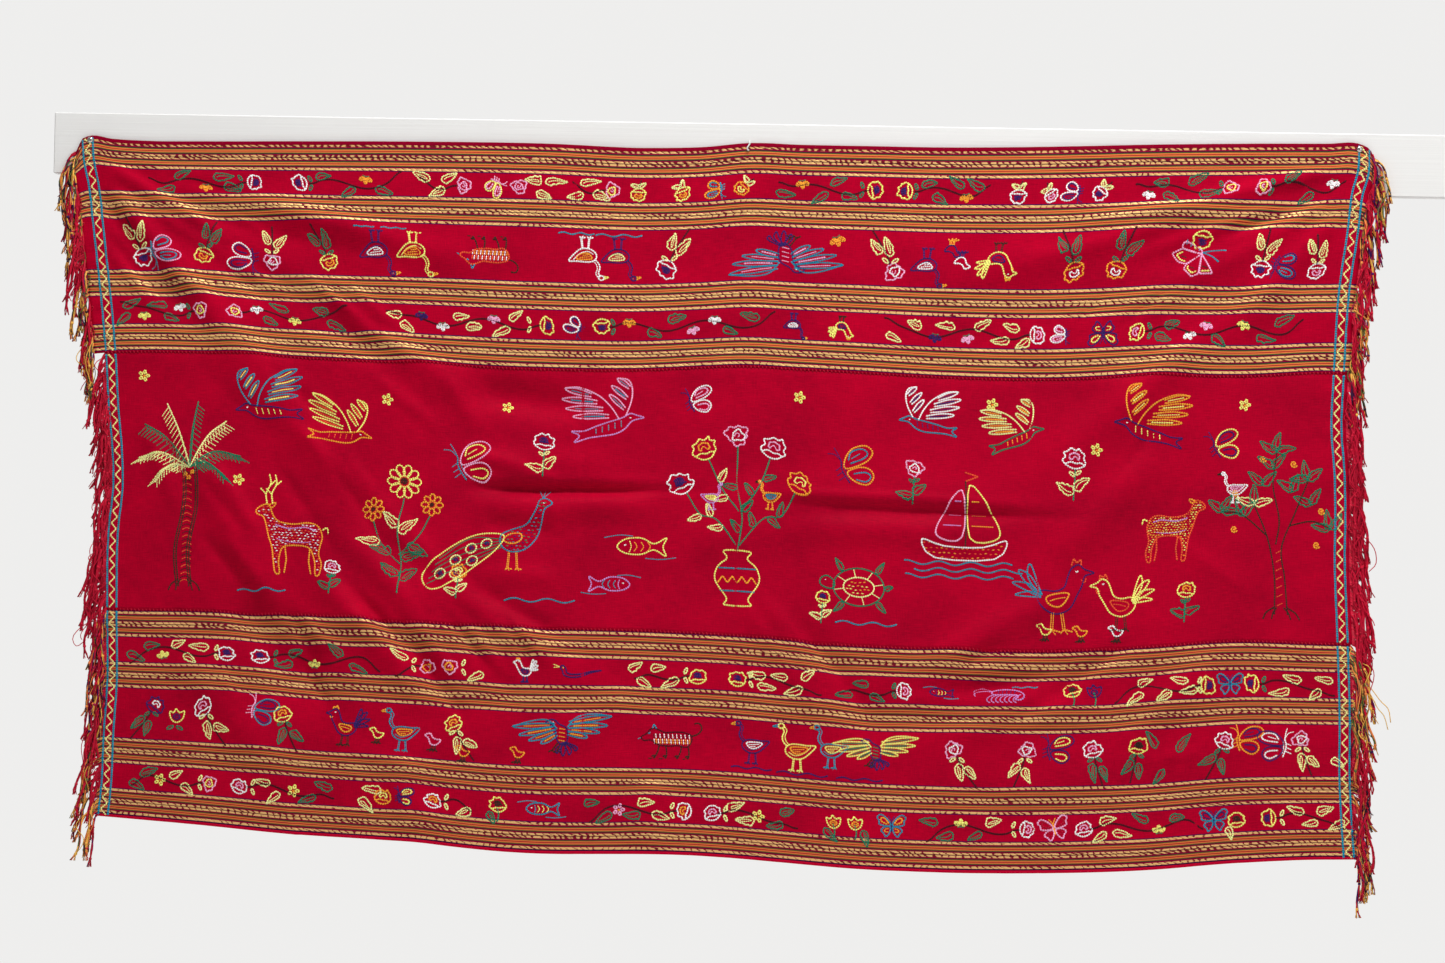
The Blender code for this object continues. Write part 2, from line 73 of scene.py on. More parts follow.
# Where the outer border lines hang: flat distance down, then x of the left and of the right line.
sideLines = table("""
0 -1036.5 921, 40 -1032.5 920, 75 -1025 912, 130 -1018 907, 215 -1006.5 896.5, 345 -991.5 891,
430 -985 889.5, 500 -978 896, 560 -975.5 898.5, 620 -980.8 899, 755 -981 906.5, 870 -978.5 912,
970 -983 914, 1045 -985 919, 1097 -989.3 923.5""")

# Along the cloth: x, then the height of the top edge, the upper seam, the lower seam and the bottom edge.
edgeLines = table("""
-1060 -8 -327 -716 -1033.5, -1024 11 -325.5 -716 -1034, -990 7 -322 -716.3 -1035.6,
-930 4.5 -319.5 -716 -1038.5, -850 5.2 -319 -714.5 -1041.5, -700 7.8 -324 -715 -1049,
-520 10.3 -328 -722 -1054, -320 10.6 -333.5 -726.5 -1066.5, -160 6.5 -331.5 -726.5 -1064,
-75 9.8 -326 -728 -1063.3, -10 16.8 -322.5 -730 -1065.7, 70 15.5 -325 -735 -1070,
160 15.2 -328 -740 -1075, 300 15.2 -333 -742 -1076.8, 450 19 -333 -741 -1073.5,
600 24.7 -324 -731 -1065.5, 750 28.7 -321 -718 -1050, 860 30.5 -313.5 -719 -1042.5,
905 31.2 -313 -719.2 -1041, 935 17 -312.5 -719.5 -1040""")

# Along the cloth: x, then how far it stands off the wall at the top, upper seam, middle, lower seam and foot.
standOffs = table("""
-1050 22 21 18 16 12, -960 22 26 24 22 15, -820 23 29 34 30 31, -640 24 30 38 44 52, -420 25 28 34 45 56,
-180 26 26 29 36 48, -10 22 26 27 31 41, 180 24 28 31 35 43, 400 25 29 33 39 45, 600 24 30 29 33 38,
780 23 27 24 26 30, 940 22 21 19 20 21""")

# Folds as ridges: from x, z to x, z, width at the start and at the end, and height. Troughs are negative.
mainFolds = table("""
-1008 -12 -625 -104 10 26 7, -1008 -26 -778 -199 10 26 9, -1006 -45 -655 -445 12 36 13,
-1009 -80 -822 -307 10 24 -7, -900 -78 -560 -205 16 26 -7, -773 -84 -431 -172 18 26 7,
-800 -170 -520 -330 18 30 -7, -645 -234 -426 -382 20 30 8, -430 -365 -242 -390 26 26 -11,
-411 -474 -209 -478 22 20 9, -423 -515 -147 -511 14 14 -10, -407 -548 -147 -536 22 20 8,
-865 -440 -700 -720 28 36 14, -790 -680 -625 -862 30 40 -18, -658 -650 -461 -841 22 28 12,
-600 -680 -440 -850 16 20 -8, -605 -600 -361 -815 20 28 10, -500 -690 -320 -850 18 24 -7,
-480 -660 -250 -790 18 26 8, -850 -800 -690 -965 28 36 10, 20 -500 420 -508 20 20 8,
60 -532 455 -535 14 14 -9, 60 -568 390 -568 22 22 7, -61 -617 20 -494 22 20 7, 16 -676 150 -870 20 26 9,
71 -705 226 -882 20 28 -9, 270 -770 484 -655 24 24 9, 280 -819 505 -760 22 22 -9,
300 -872 530 -822 24 24 8, 474 -600 620 -440 26 30 9, 560 -894 720 -740 24 26 8, 884 -4 500 -115 10 26 7,
885 -14 307 -185 10 28 8, 885 -30 640 -170 10 22 -6, 885 -42 570 -222 12 28 8, 881 -70 713 -270 12 26 7,
700 -250 440 -480 26 34 9, -275 -904 -155 -817 26 26 6, 393 -960 572 -925 24 24 6,
-520 -930 -470 -1060 30 36 9, -130 -950 -150 -1065 30 34 8""")
wrinkles = dict(
    # Small creases that only this script has, written as the main folds are and placed by their lit sides.
    rows=table(
        # from the upper left corner
        """
-985 -30 -800 -138 6 10 4.5, -975 -58 -800 -158 6 10 -4, -880 -64 -545 -130 12 16 3.4,
-900 -40 -780 -72 6 8 -3, -830 -106 -580 -162 8 11 -1.8, -800 -100 -735 -136 5 6 2.5,
-885 -122 -700 -262 10 18 -5, -900 -190 -820 -232 10 10 4, -800 -170 -720 -215 10 10 4,
-680 -195 -590 -258 6 7 3.2, -615 -205 -530 -275 6 8 3.2, -650 -205 -560 -275 6 7 -3,
-610 -262 -500 -318 10 12 3.5, -998 -130 -900 -235 6 8 -3.5, -995 -155 -925 -235 6 8 3""",
        # down the left half of the middle panel
        """
-930 -420 -870 -560 9 11 3.4, -900 -420 -840 -560 9 11 -3.4, -740 -330 -620 -430 9 11 -3.6,
-690 -420 -590 -520 9 11 3.6, -720 -480 -620 -620 9 12 -4, -560 -520 -440 -660 9 12 3.8,
-540 -590 -400 -720 9 12 -3.6, -580 -340 -470 -420 9 10 3, -815 -318 -605 -515 20 24 4.5,
-815 -485 -735 -600 8 10 3.5, -840 -500 -765 -590 8 9 -3.5, -650 -450 -485 -700 7 10 -4.2,
-620 -450 -460 -680 8 10 3.6, -835 -590 -745 -690 8 10 -4, -800 -590 -715 -690 9 11 3.5,
-610 -655 -425 -835 8 10 -4.5, -414 -506 -73 -505.5 6.4 6.4 -4, -430 -455 -280 -500 14 10 5,
-460 -345 -415 -420 12 12 3.5, -400 -560 -290 -575 14 14 -5, -395 -640 -280 -645 16 16 5,
-405 -660 -270 -735 12 12 -5""",
        # across the bands of the lower panel, on the left
        """
-670 -718 -620 -765 10 10 4.5, -590 -700 -505 -785 10 10 5, -490 -725 -430 -800 9 9 4.5,
-420 -715 -360 -790 9 9 4.5, -345 -715 -295 -775 9 9 4, -695 -700 -645 -790 10 10 -5,
-525 -705 -465 -805 9 9 -4.5, -450 -705 -385 -780 8 8 -4.5, -370 -700 -320 -765 8 8 -4,
-480 -795 -415 -860 10 10 -4.5, -675 -775 -625 -850 10 10 -4.5, -800 -800 -770 -850 10 10 3.5,
-620 -900 -420 -960 10 12 2.8""",
        # from the upper right corner
        """
880 -15 430 -128 8 14 -6, 785 -60 570 -140 8 12 5.5, 800 -65 710 -100 6 7 -3, 800 -80 700 -120 6 6 3,
720 -62 480 -85 10 12 4, 630 -185 555 -245 5 5 -3, 530 -195 495 -240 6 6 -2, 620 -390 555 -470 8 8 -2""",
        # over the right half
        """
30 -505 400 -515 7 7 3.5, 30 -520 500 -533 5 5 -3, 10 -665 135 -840 10 12 -5.5, 50 -680 170 -830 10 10 5,
390 -725 330 -757 10 10 -5.5, 335 -768 480 -755 12 12 5, 590 -710 400 -850 10 14 -6,
240 -812 470 -808 12 12 5.5, 200 -840 400 -845 10 10 -4, 560 -820 650 -790 12 12 4,
640 -560 760 -640 10 12 2.4, 560 -900 700 -880 9 10 2.4""",
    ),
    below=0.0065,                        # a crease's own line lies this far below its lit side
    # Where the thin cloth takes the main folds less sharply than they are drawn.
    easings=table("""
-990 -85 -800 -320 16 30 5, -1000 -50 -650 -450 12 34 -4.5, -900 -78 -560 -205 16 26 4.5,
-423 -504.5 -120 -502 10 10 6.2, 40 -527 470 -530 14 14 7.8, -990 -16 -625 -104 12 26 -5.2,
-411 -474 -209 -478 22 20 -4, 20 -500 420 -508 20 20 -4.5, -790 -680 -625 -862 30 40 5,
-865 -440 -700 -720 28 36 -6"""),
    storage=(0.508, 0.757, 0.994, 1.463, 1.700),  # creases left by folding, at these distances across
    storageHeight=-0.0013,
    storageWidth=0.0050,
    storageWander=(0.004, 9.0, 40.0),    # how far they stray, how quickly, and how unlike each other
    tuck=(0.306, 1.051, 0.327, 1.097),   # a small tuck at the lower left: across, down to across, down
    tuckHeight=0.0040,
    tuckRise=(-0.020, 0.010),            # it swells in over this stretch
    tuckEdge=0.002,
    rollWidth=0.030,
    # crossing sine waves: height, rate across with its sway and the sway's rate, then rates down and across
    ripples=((0.0006, 47.0, 3.0, 11.0, 39.0, 5.0), (0.0003, 121.0, 2.0, 23.0, 87.0, -17.0)),
    # puckers beside a line of sewing: height, reach to each side, length of a wave, sway and the sway's rate
    borderPucker=(0.0009, 0.020, 0.031, 2.0, 19.0),
    seamPucker=(0.0005, 0.010, 0.043, 2.0, 13.0),
)


def through(x, knots, values):
    # Hermite curve through the knots: each slope is the rise between a knot's two neighbours
    slopes = np.gradient(values, knots)
    x = np.clip(x, knots[0], knots[-1])
    at = np.clip(np.searchsorted(knots, x) - 1, 0, len(knots) - 2)
    span = knots[at + 1] - knots[at]
    f = (x - knots[at]) / span
    rise = values[at] * (1 + 2 * f) * (1 - f) ** 2 + values[at + 1] * f * f * (3 - 2 * f)
    return rise + span * (slopes[at] * f * (1 - f) ** 2 - slopes[at + 1] * f * f * (1 - f))


def smoothStep(value, start, end):
    f = np.clip((value - start) / (end - start), 0.0, 1.0)
    return f * f * (3 - 2 * f)


def foldHeights(x, z, rows, swellIn=(-0.12, 0.25), dieAway=(0.70, 1.15)):
    # each fold is a bell across its line, swelling in at its start and dying away at its end
    total = np.zeros_like(x)
    for x0, z0, x1, z1, startWidth, endWidth, height in rows:
        runX, runZ = x1 - x0, z1 - z0
        length = math.hypot(runX, runZ)
        along = ((x - x0) * runX + (z - z0) * runZ) / length**2
        across = ((z - z0) * runX - (x - x0) * runZ) / length
        width = startWidth + (endWidth - startWidth) * np.clip(along, 0.0, 1.0)
        swell = smoothStep(along, *swellIn) * (1.0 - smoothStep(along, *dieAway))
        total += height * swell * np.exp(-((across / width) ** 2))
    return total


def pucker(run, distances, height, reach, length, sway, rate):
    # a wave along some lines of sewing, dying away to both sides of them
    near = sum(np.exp(-np.abs(distance) / reach) for distance in distances)
    return height * near * np.sin(run * 2 * math.pi / length + sway * np.sin(run * rate))


def smallRelief(across, down):
    # creases left by storage, a tuck, a slow uneven ripple and the puckers of the sewing
    w = wrinkles
    total = np.zeros_like(across)
    stray, slow, unlike = w["storageWander"]
    for place in w["storage"]:
        bend = place + stray * np.sin(down * slow + place * unlike)
        total += w["storageHeight"] * np.exp(-np.abs(across - bend) / w["storageWidth"])
    x0, d0, x1, d1 = w["tuck"]
    beside = (across - x0) - (down - d0) * (x1 - x0) / (d1 - d0)
    low = smoothStep(down, d0 + w["tuckRise"][0], d0 + w["tuckRise"][1])
    roll = np.exp(np.minimum(beside, 0) / w["rollWidth"])
    total += w["tuckHeight"] * low * roll * (1 - smoothStep(beside, -w["tuckEdge"], w["tuckEdge"]))
    for height, rate, sway, swayRate, downRate, acrossRate in w["ripples"]:
        wave = np.sin(across * rate + sway * np.sin(down * swayRate))
        total += height * wave * np.sin(down * downRate + across * acrossRate)
    total += pucker(down, (across, across - cloth["width"]), *w["borderPucker"])
    return total + pucker(across, (down - panelTops[1], down - panelTops[2]), *w["seamPucker"])


def held(z, onRail, below):
    # a least distance from the wall: one in front of the rail, another well below it, and a soft change
    return below + (onRail - below) * smoothStep(z, cloth["freeBelow"], cloth["heldOffAbove"])


def hang(across, down):
    # where a point of the flat cloth hangs: x between the side lines, z evenly between the edge lines,
    # y from the stand-off lines plus all folds, held softly clear of wall and rail
    across, down = np.broadcast_arrays(np.asarray(across, float), np.asarray(down, float))
    left, right = (through(down, sideLines[:, 0], sideLines[:, k]) for k in (1, 2))
    x = left + (right - left) * across / cloth["width"]
    lines = [through(x, edgeLines[:, 0], edgeLines[:, k]) for k in range(1, 5)]
    z = np.zeros_like(x)
    for k in range(3):
        share = (down - panelTops[k]) / cloth["heights"][k]
        z = np.where((down >= panelTops[k]) | (k == 0), lines[k] + (lines[k + 1] - lines[k]) * share, z)
    beyond = np.maximum(-across, 0.0) + np.maximum(across - cloth["width"], 0.0)
    droop = beyond * np.exp(-((down / cloth["cornerReach"]) ** 2))
    x = x + np.where(across < 0, 1.0, -1.0) * cloth["cornerPull"] * droop
    z = z - cloth["cornerFall"] * droop
    offs = [through(x, standOffs[:, 0], standOffs[:, k]) for k in range(1, 6)]
    levels = (0.0, panelTops[1], panelTops[1] + cloth["heights"][1] / 2, panelTops[2], panelTops[3])
    standOff = offs[0]
    for k in range(4):
        share = np.clip((down - levels[k]) / (levels[k + 1] - levels[k]), 0.0, 1.0)
        standOff = np.where(down >= levels[k], offs[k] + (offs[k + 1] - offs[k]) * share, standOff)
    folds = foldHeights(x, z, mainFolds) + foldHeights(x, z, wrinkles["easings"])
    folds += foldHeights(x, z + wrinkles["below"], wrinkles["rows"])
    standOff = standOff + folds + smallRelief(across, down)
    least = held(z, cloth["railFront"] + cloth["railClearance"], cloth["wallClearance"])
    spare = standOff - least
    standOff = least + (spare + np.sqrt(spare**2 + cloth["softness"] ** 2)) / 2
    return np.stack([x, -standOff, z + cloth["foldPull"] * folds], axis=-1)


def onCloth(across, down, lift):
    # a point raised off the middle of the weave along the cloth's own front normal
    step = 0.002
    here = hang(across, down)
    normal = np.cross(hang(across, down + step) - here, hang(across + step, down) - here)
    normal /= np.linalg.norm(normal, axis=-1, keepdims=True)
    return here + normal * np.asarray(lift)[..., None]


def buildMesh(name, points, faceLists, material, smooth=True, colours=None, maps=None):
    # vertices and faces go in as whole arrays; faceLists holds arrays of triangles or of quads
    mesh = bpy.data.meshes.new(name)
    points = np.asarray(points, np.float32).reshape(-1, 3)
    corners = np.concatenate([np.asarray(faces, np.int32).ravel() for faces in faceLists])
    sizes = np.concatenate([np.full(len(faces), faces.shape[1], np.int32) for faces in faceLists])
    mesh.vertices.add(len(points))
    mesh.vertices.foreach_set("co", points.ravel())
    mesh.loops.add(len(corners))
    mesh.loops.foreach_set("vertex_index", corners)
    mesh.polygons.add(len(sizes))
    mesh.polygons.foreach_set("loop_start", np.concatenate([[0], np.cumsum(sizes)[:-1]]).astype(np.int32))
    mesh.polygons.foreach_set("use_smooth", np.full(len(sizes), smooth))
    mesh.update(calc_edges=True)
    if colours is not None:
        layer = mesh.color_attributes.new("yarn", "FLOAT_COLOR", "POINT")
        opaque = np.ones((len(colours), 1))
        layer.data.foreach_set("color", np.concatenate([colours, opaque], 1).astype(np.float32).ravel())
    for mapName, flat in (maps or {}).items():
        layer = mesh.uv_layers.new(name=mapName)
        layer.data.foreach_set("uv", np.asarray(flat, np.float32)[corners].ravel())
    mesh.materials.append(material)
    piece = bpy.data.objects.new(name, mesh)
    bpy.context.collection.objects.link(piece)
    return piece


def finished(piece, slot, *nodes):
    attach(piece, "root")
    if nodes:
        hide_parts(*nodes)
    return piece


def gridFaces(rows, columns, closed=False):
    # quads of a grid of points, row by row; a closed grid joins its last column to its first
    r = np.arange(rows - 1)[:, None]
    c = np.arange(columns if closed else columns - 1)[None, :]
    right = (c + 1) % columns
    a = r * columns + c
    b = r * columns + right
    return np.stack([a, a + columns, b + columns, b], axis=-1).reshape(-1, 4)


def tubes(paths, radii, sides, flatten=1.0):
    # a ring of a few points round every point of many equal paths, with both ends closed
    paths = np.asarray(paths, float)
    count, length = paths.shape[:2]
    along = np.gradient(paths, axis=1)
    along /= np.linalg.norm(along, axis=2, keepdims=True) + 1e-12
    toward = np.array([0.25, -1.0, 0.15])
    side = np.cross(along, toward)
    side /= np.linalg.norm(side, axis=2, keepdims=True) + 1e-12
    over = np.cross(side, along)
    angle = np.arange(sides) * 2 * math.pi / sides
    radii = np.broadcast_to(np.asarray(radii, float), (count, length))[:, :, None, None]
    rings = paths[:, :, None] + radii * (
        np.cos(angle)[:, None] * side[:, :, None] + flatten * np.sin(angle)[:, None] * over[:, :, None]
    )
    quads = gridFaces(length, sides, closed=True)
    start = (np.arange(count) * length * sides)[:, None, None]
    quads = (quads[None] + start).reshape(-1, 4)
    cap = np.arange(sides)
    firsts = cap[None] + start[:, 0]
    lasts = cap[None, ::-1] + start[:, 0] + (length - 1) * sides
    return rings.reshape(-1, 3), [quads, firsts, lasts]


def joined(parts):
    # several (points, faceLists) into one
    points, faceLists, start = [], [], 0
    for some, lists in parts:
        points.append(some)
        faceLists += [faces + start for faces in lists]
        start += len(some)
    return np.concatenate(points), faceLists


class Wire:
    # a socket, or a plain number, that Python's own operators turn into Math nodes
    def __init__(self, shader, value):
        self.shader = shader
        self.value = value

    def math(self, operation, *others):
        inputs = dict(enumerate((self, *others)))
        return self.shader.node("ShaderNodeMath", dict(operation=operation), inputs)

    def __add__(self, other):
        return self.math("ADD", other)

    def __sub__(self, other):
        return self.math("SUBTRACT", other)

    def __mul__(self, other):
        return self.math("MULTIPLY", other)

    def __truediv__(self, other):
        return self.math("DIVIDE", other)

    def __radd__(self, other):
        return self + other

    def __rmul__(self, other):
        return self * other

    def __rsub__(self, other):
        return Wire(self.shader, other).math("SUBTRACT", self)

    def __gt__(self, other):
        return self.math("GREATER_THAN", other)

    def __lt__(self, other):
        return self.math("LESS_THAN", other)

    def fraction(self):
        return self.math("FRACT")

    def sine(self):
        return self.math("SINE")

    def capped(self):
        return self.shader.node("ShaderNodeClamp", {}, {"Value": self})


class Finish:
    # one material: its Principled shader, and a method that adds any other node
    def __init__(self, name, **constants):
        self.material = bpy.data.materials.new(name)
        self.material.use_nodes = True
        self.tree = self.material.node_tree
        self.surface = self.tree.nodes["Principled BSDF"]
        for socket, value in constants.items():
            self.surface.inputs[socket.replace("_", " ")].default_value = value

    def plug(self, socket, value):
        if isinstance(value, Wire):
            value = value.value
        if isinstance(value, bpy.types.NodeSocket):
            self.tree.links.new(value, socket)
        elif hasattr(value, "__len__") and len(value) == 3 and socket.type == "RGBA":
            socket.default_value = (*value, 1.0)
        else:
            socket.default_value = value

    def node(self, kind, settings, inputs, output=0):
        made = self.tree.nodes.new(kind)
        for name, value in settings.items():
            if name == "stops":
                ramp = made.color_ramp
                while len(ramp.elements) < len(value):
                    ramp.elements.new(1.0)
                for element, (place, colour) in zip(ramp.elements, value):
                    element.position = place
                    element.color = (*colour, 1.0)
            elif name == "ramp":
                made.color_ramp.interpolation = value
            else:
                setattr(made, name, value)
        for name, value in inputs.items():
            self.plug(made.inputs[name], value)
        return Wire(self, made.outputs[output])

    def feed(self, **values):
        for socket, value in values.items():
            self.plug(self.surface.inputs[socket.replace("_", " ")], value)

    def mix(self, share, first, second, kind="MIX"):
        made = self.tree.nodes.new("ShaderNodeMix")
        made.data_type = "RGBA"
        made.blend_type = kind
        for place, value in ((0, share), (6, first), (7, second)):  # factor and the two colours
            self.plug(made.inputs[place], value)
        return Wire(self, made.outputs[2])

    def noise(self, vector, scale, detail=2.0, roughness=0.5):
        inputs = {"Vector": vector, "Scale": scale, "Detail": detail, "Roughness": roughness}
        return self.node("ShaderNodeTexNoise", {}, inputs)

    def across(self, vector, axis):
        return self.node("ShaderNodeSeparateXYZ", {}, {"Vector": vector}, axis)

    def stretched(self, vector, x, y, z=1.0):
        return self.node("ShaderNodeMapping", {}, {"Vector": vector, "Scale": (x, y, z)})

    def bump(self, height, depth, strength=1.0, under=None):
        inputs = {"Height": height, "Distance": depth, "Strength": strength}
        if under is not None:
            inputs["Normal"] = under
        return self.node("ShaderNodeBump", {}, inputs)


def linear(red, green, blue):
    # from the 0 to 255 of a screen colour to the light that it stands for
    screen = np.array([red, green, blue]) / 255
    light = np.where(screen <= 0.04045, screen / 12.92, ((screen + 0.055) / 1.055) ** 2.4)
    return tuple(float(v) for v in light)


# The woven finish: plain red ground, and bands of fine stripes with flecked gold cords between them. The flecks are
# partly the cords' own two colours and partly painted light: a painted highlight on each twist's crest and painted
# sheen in random patches.
weave = dict(
    redLit=linear(206, 0, 45),
    redDeep=linear(131, 0, 32),
    hem=linear(132, 0, 34),
    selvedge=linear(214, 6, 52),
    # the gold cords' colour in their painted highlights, and their colour between the highlights
    goldLit=linear(255, 204, 132),
    goldDull=linear(118, 26, 36),
    warpGold=linear(236, 176, 78),
    warpRed=linear(196, 6, 48),
    bandHeight=0.0437,
    upper=dict(bands=(0.0038, 0.0847, 0.2106, 0.2984),  # flat distance of each band below its panel's top
               # shine: how strongly the gold cords of the panel take their painted highlight
               shine=0.88,
               blush=0.06),                       # how far the ground's red shows through the bands
    lower=dict(bands=(0.0016, 0.0850, 0.2094, 0.2930), shine=0.70, blush=0.19),
    dullTop=0.046,                                # the uppermost band is duller, its painted highlights weaker, over this height
    dullLeast=0.10,
    hemHeight=0.006,
    selvedgeHeight=0.0045,
    cords=94.0,                                   # gold flecks per metre, each partly a painted highlight on a twist's crest
    slant=120.0,
    copper=0.72,                                  # how bright a copper cord is beside a gold one
    # patterns in the yarn: rates across and down
    slubs=(55.0, 850.0),                          # thick places in the yarns that run across
    picks=(700.0, 60.0),                          # and in those that run down
    clouds=(7.0, 12.0),
    wanders=(26.0, 120.0),
    patches=(14.0, 150.0),
    grains=(330.0, 330.0),
    tone=(0.9, 0.5, 0.8, 0.55),                   # shares of slubs, picks and clouds, and what comes off
    wanderReach=2.6,
    patchReach=3.2,
    # a fleck's painted light: shares of the cord's own painted sheen and of the grain, what comes off, and the
    # contrast
    fleck=(0.66, 1.1, 1.18, 3.2),
    # painted shade: a fleck is darker by up to this share outside the painted sheen patches
    fleckShade=0.15,
    yarnShade=0.28,
    bandBlush=1.5,
    cordBlush=0.7,
    cordRelief=(1.6, 0.8),
    metal=0.22,
    roughness=(0.80, 0.38),                       # of the ground, and how much smoother the cords are
    relief=0.0005,
    reliefShare=0.7,
)
stripeColours = dict(
    purple=linear(64, 8, 84), dark=linear(48, 16, 44), gold=linear(150, 60, 34), copper=linear(150, 60, 34),
    wine=linear(164, 14, 66), green=linear(90, 108, 54), orange=linear(252, 142, 74), red=linear(188, 22, 42),
)
# One band from top to bottom: each stripe's colour and its share of the height, in parts.
bandStripes = (
    ("purple", 1.2), ("gold", 2.6), ("wine", 1.0), ("dark", 1.0), ("green", 1.0), ("orange", 1.2),
    ("red", 1.0), ("orange", 1.2), ("green", 1.0), ("dark", 1.0), ("wine", 0.9), ("copper", 2.2), ("dark", 0.9),
    ("copper", 2.2), ("wine", 0.9), ("dark", 1.0), ("green", 1.0), ("orange", 1.2), ("red", 1.0),
    ("orange", 1.2), ("green", 1.0), ("dark", 1.0), ("wine", 1.0), ("gold", 2.6), ("purple", 1.2),
)


stripeEnds = np.cumsum([share for _, share in bandStripes])


def stripeStops(chosen):
    # ramp stops for one band: where each stripe starts, and the colour that chosen gives for its name
    starts = np.concatenate([[0.0], stripeEnds[:-1]]) / stripeEnds[-1]
    return [(float(start), chosen(name)) for start, (name, _) in zip(starts, bandStripes)]


def bandedFinish(f, ground, relief, slubs, flat, bands, shine, blush, dulled):
    # the colour and relief with the bands of stripes laid over the plain ground
    w = weave
    across, down = f.across(flat, 0), f.across(flat, 1)
    inside, place = 0.0, 0.0
    for start in bands:
        here = (down > start) * (down < start + w["bandHeight"])
        inside = here + inside
        place = here * ((down - start) / w["bandHeight"]) + place
    ramp = "ShaderNodeValToRGB"
    stripes = f.node(ramp, dict(ramp="CONSTANT", stops=stripeStops(stripeColours.get)), {0: place})
    share = dict(gold=1.0, copper=w["copper"])
    golden = stripeStops(lambda stripe: (share.get(stripe, 0.0),) * 3)
    bright = f.node(ramp, dict(ramp="CONSTANT", stops=golden), {0: place}) * inside
    gold = bright > 0.2
    wander = f.noise(f.stretched(flat, *w["wanders"]), 1.0, 2.0)
    turn = (across * w["cords"] - down * w["slant"] + wander * w["wanderReach"]).fraction()
    # painted sheen: slow random patches where the gold cords are painted brighter
    patch = f.noise(f.stretched(flat, *w["patches"]), 1.0, 2.0)
    if dulled:
        high = down / w["dullTop"]
        shine = shine * (w["dullLeast"] + high * high).capped()
    lit = ((patch - 0.5) * w["patchReach"] + bright * shine).capped()
    swell = (turn * math.pi).sine()
    grain = f.noise(f.stretched(flat, *w["grains"]), 1.0, 1.0)
    ownLight, grainShare, less, contrast = w["fleck"]
    # painted highlight: each twist's crest and the painted sheen patches turn the dull gold to lit gold, partly the
    # cord's own two colours
    fleck = ((swell + lit * ownLight + grain * grainShare - less) * contrast).capped()
    fleck = fleck * (lit * w["fleckShade"] + (1 - w["fleckShade"]))
    cord = f.mix(fleck, w["goldDull"], w["goldLit"])
    yarnTone = f.mix(slubs, (0.3, 0.3, 0.3), (1.0, 1.0, 1.0))
    yarn = f.mix(w["yarnShade"], stripes, yarnTone, "MULTIPLY")
    yarn = f.mix(blush * w["bandBlush"], yarn, w["redDeep"])
    cord = f.mix(blush * w["cordBlush"], cord, w["redDeep"])
    swelling, base = w["cordRelief"]
    relief = relief * (1 - gold) + gold * (swell * swelling + base)
    plain, smoother = w["roughness"]
    f.feed(Metallic=gold * fleck * w["metal"], Roughness=plain - gold * smoother)
    return f.mix(inside, ground, f.mix(gold, yarn, cord)), relief


def wovenFinish(name, edges, bands=(), shine=0.0, blush=0.0, dulled=False):
    w = weave
    f = Finish(name, Roughness=0.62, Specular_IOR_Level=0.03)
    flat = f.node("ShaderNodeUVMap", dict(uv_map="flat"), {})
    slubs = f.noise(f.stretched(flat, *w["slubs"]), 1.0, 3.0)
    picks = f.noise(f.stretched(flat, *w["picks"]), 1.0, 2.0)
    cloudy = f.noise(f.stretched(flat, *w["clouds"]), 1.0, 3.0)
    ofSlubs, ofPicks, ofClouds, less = w["tone"]
    tone = (slubs * ofSlubs + picks * ofPicks + cloudy * ofClouds - less).capped()
    colour = f.mix(tone, w["redDeep"], w["redLit"])
    relief = slubs * 0.6 + picks * 0.4
    if bands:
        colour, relief = bandedFinish(f, colour, relief, slubs, flat, bands, shine, blush, dulled)
    down = f.across(flat, 1)
    for start, end, edgeColour in edges:
        colour = f.mix((down > start) * (down < end), colour, edgeColour)
    f.feed(Base_Color=colour, Normal=f.bump(relief, w["relief"], w["reliefShare"]))
    return f.material


def makePanel(k, node, material):
    acrossStep, downStep = cloth["meshSteps"]
    left, right = -cloth["leftMargins"][k], cloth["width"] + cloth["rightMargins"][k]
    top, bottom = panelTops[k] - (cloth["seamLap"] if k else 0.0), panelTops[k + 1]
    across = np.linspace(left, right, int((right - left) / acrossStep) + 1)
    down = np.linspace(top, bottom, int((bottom - top) / downStep) + 1)
    acrossGrid, downGrid = np.meshgrid(across, down)
    points = hang(acrossGrid, downGrid)
    if k:
        points[..., 1] += cloth["lapDepth"] * (1 - smoothStep(downGrid - panelTops[k], 0.0, 0.006))
    flat = np.stack([acrossGrid, downGrid - panelTops[k]], axis=-1).reshape(-1, 2)
    whole = (flat - flat.min(axis=0)) / np.ptp(flat, axis=0)
    faces = gridFaces(len(down), len(across))
    piece = buildMesh(f"{node}_weave", points, [faces], material, maps={"flat": flat, "OFBake": whole})
    skin = piece.modifiers.new("thickness", "SOLIDIFY")
    skin.thickness = cloth["thickness"]
    skin.offset = 0.0
    finished(piece, "woven_cloth", node)
    return piece, (right - left, cloth["heights"][k])


panelNames = ("upper_panel", "middle_panel", "lower_panel")
foot = cloth["heights"][2]
selvedgeTop = foot - weave["selvedgeHeight"]
panelFinishes = (
    wovenFinish("wovenUpper", ((-1.0, weave["hemHeight"], weave["hem"]),), dulled=True, **weave["upper"]),
    wovenFinish("wovenMiddle", ()),
    wovenFinish("wovenLower", ((foot - weave["hemHeight"], selvedgeTop, stripeColours["dark"]),
                               (selvedgeTop, 1.0, weave["selvedge"])), **weave["lower"]),
)
sheets = []
for k, (node, material) in enumerate(zip(panelNames, panelFinishes)):
    sheets.append(makePanel(k, node, material))
print("panels woven")


